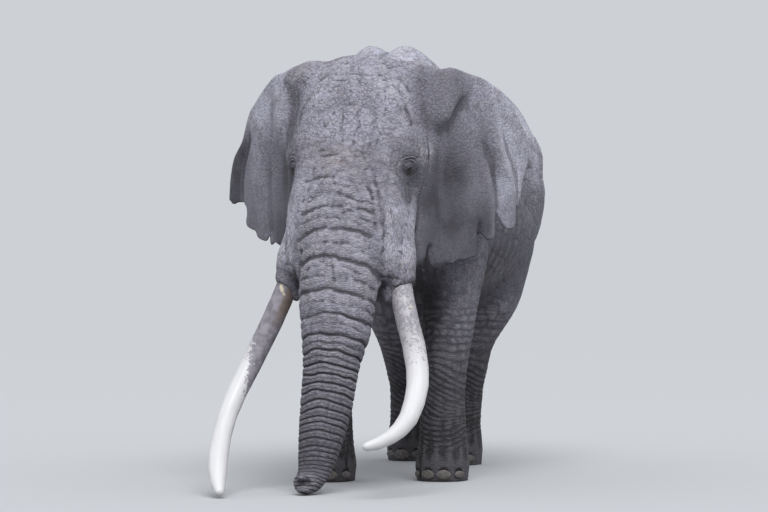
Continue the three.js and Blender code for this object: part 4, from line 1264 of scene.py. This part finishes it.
def hairs(name, strands, thickness):
    """One mesh of tapering hairs, each given as the points of its middle line, root first."""
    made = bmesh.new()
    unwrap = made.loops.layers.uv.new("OFBake")
    for line in strands:
        rings = []
        for step, point in enumerate(line[:-1]):
            ahead = (line[step + 1] - point).normalized()
            across = ahead.orthogonal().normalized()
            beside = ahead.cross(across)
            wide = thickness * (1 - step / len(line)) ** 0.7
            rings.append([
                made.verts.new(point + wide * (across * math.cos(turn) + beside * math.sin(turn)))
                for turn in (0, 2.094, 4.189)
            ])
        tip = made.verts.new(line[-1])
        faces = [made.faces.new(rings[0][::-1])]
        sides = ((0, 1), (1, 2), (2, 0))
        for first, second in zip(rings, rings[1:]):
            faces += [made.faces.new((first[n], first[m], second[m], second[n])) for n, m in sides]
        faces += [made.faces.new((rings[-1][n], rings[-1][m], tip)) for n, m in sides]
        # Every face of a hair has the same small patch in the bake, by where the hair is rooted.
        root = line[0] - home
        across = 0.5 + 0.47 * math.atan2(root.x, root.y - 0.8) / math.pi
        up = min(max(root.z / 3.6 + 0.04, 0.02), 0.97)
        for face in faces:
            for turn, loop in enumerate(face.loops):
                loop[unwrap].uv = (across + 0.003 * (turn in (1, 2)), up + 0.003 * (turn in (2, 3)))
    bmesh.ops.recalc_face_normals(made, faces=made.faces)
    piece = object_of(name, made)
    piece.data.materials.append(bristle)
    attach(piece, "root")
    return piece


dice = np.random.default_rng(7)
tuft_low, tuft_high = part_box("tail_tuft")
dock_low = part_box("tail_tip")[0]
strands = []
hair_count = 420
for number in range(hair_count):
    row = -1 if number % 2 else 1
    high = dice.uniform(0, 1) ** 1.6
    start_z = dock_low.z - 0.004 + 0.2 * high
    root = Vector((
        (tuft_low.x + tuft_high.x) / 2 - 0.02 * high + dice.uniform(-0.012, 0.012),
        (tuft_low.y + tuft_high.y) / 2 + row * dice.uniform(0.0, 0.016) + 0.004,
        start_z,
    ))
    length = (start_z - tuft_low.z) * dice.uniform(0.45, 0.98) * (1 - 0.35 * high)
    spread_y = row * dice.uniform(-0.008, 0.026)
    spread_x = dice.uniform(-0.028, 0.006)
    strands.append([
        root + Vector((spread_x * part ** 0.8, spread_y * math.sin(part * 2.2), -length * part))
        for part in np.linspace(0, 1, 6)
    ])
tuft = hairs("tail_bristles", strands, 0.0016)
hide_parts("tail_tuft")

# ------------------------------
# The floor, a pale level disc. It takes the bull's shadow, and far out it fades into the
# colour behind it, so that no edge shows.

pale = (0.61, 0.635, 0.665)


def seen_rays():
    """1 for a ray that carries the view, straight or mirrored, and 0 for one that carries light."""
    path = node("ShaderNodeLightPath").outputs
    mirrored = sum_of("ADD", path["Is Glossy Ray"], path["Is Transmission Ray"])
    return sum_of("MINIMUM", sum_of("ADD", path["Is Camera Ray"], mirrored), 1.0)


bpy.ops.object.select_all(action="DESELECT")
bpy.ops.mesh.primitive_circle_add(vertices=96, radius=90, fill_type="TRIFAN", location=(0, 0, 0))
floor = bpy.context.object
floor.name = "floor"
ground, nodes, links, shader = material("pale_floor", 0.9)
seen = seen_rays()
coat((0.26, 0.26, 0.26), (seen, (0.585, 0.605, 0.63)))
far = node("ShaderNodeVectorMath", operation="LENGTH")
links.new(object_place(), far.inputs[0])
glow = fed(node("ShaderNodeEmission"), (pale,))
shares = times(ramp(far.outputs["Value"], 5.0, 24.0), seen)
fade = fed(node("ShaderNodeMixShader"), (shares, shader.outputs[0], glow))
links.new(fade, nodes["Material Output"].inputs["Surface"])
floor.data.materials.append(ground)

# ------------------------------
# The light: an even pale sky and one broad soft lamp, high and in front.

world = bpy.data.worlds.new("sky")
bpy.context.scene.world = world
world.use_nodes = True
nodes, links = world.node_tree.nodes, world.node_tree.links
seen = seen_rays()
links.new(blend(seen, (0.58, 0.585, 0.6), pale), nodes["Background"].inputs["Color"])
bpy.ops.object.light_add(type="SUN", rotation=(math.radians(32), math.radians(8), math.radians(10)))
lamp = bpy.context.object
lamp.data.energy = 1.8
lamp.data.angle = math.radians(40)

bpy.context.scene.view_settings.view_transform = "Standard"
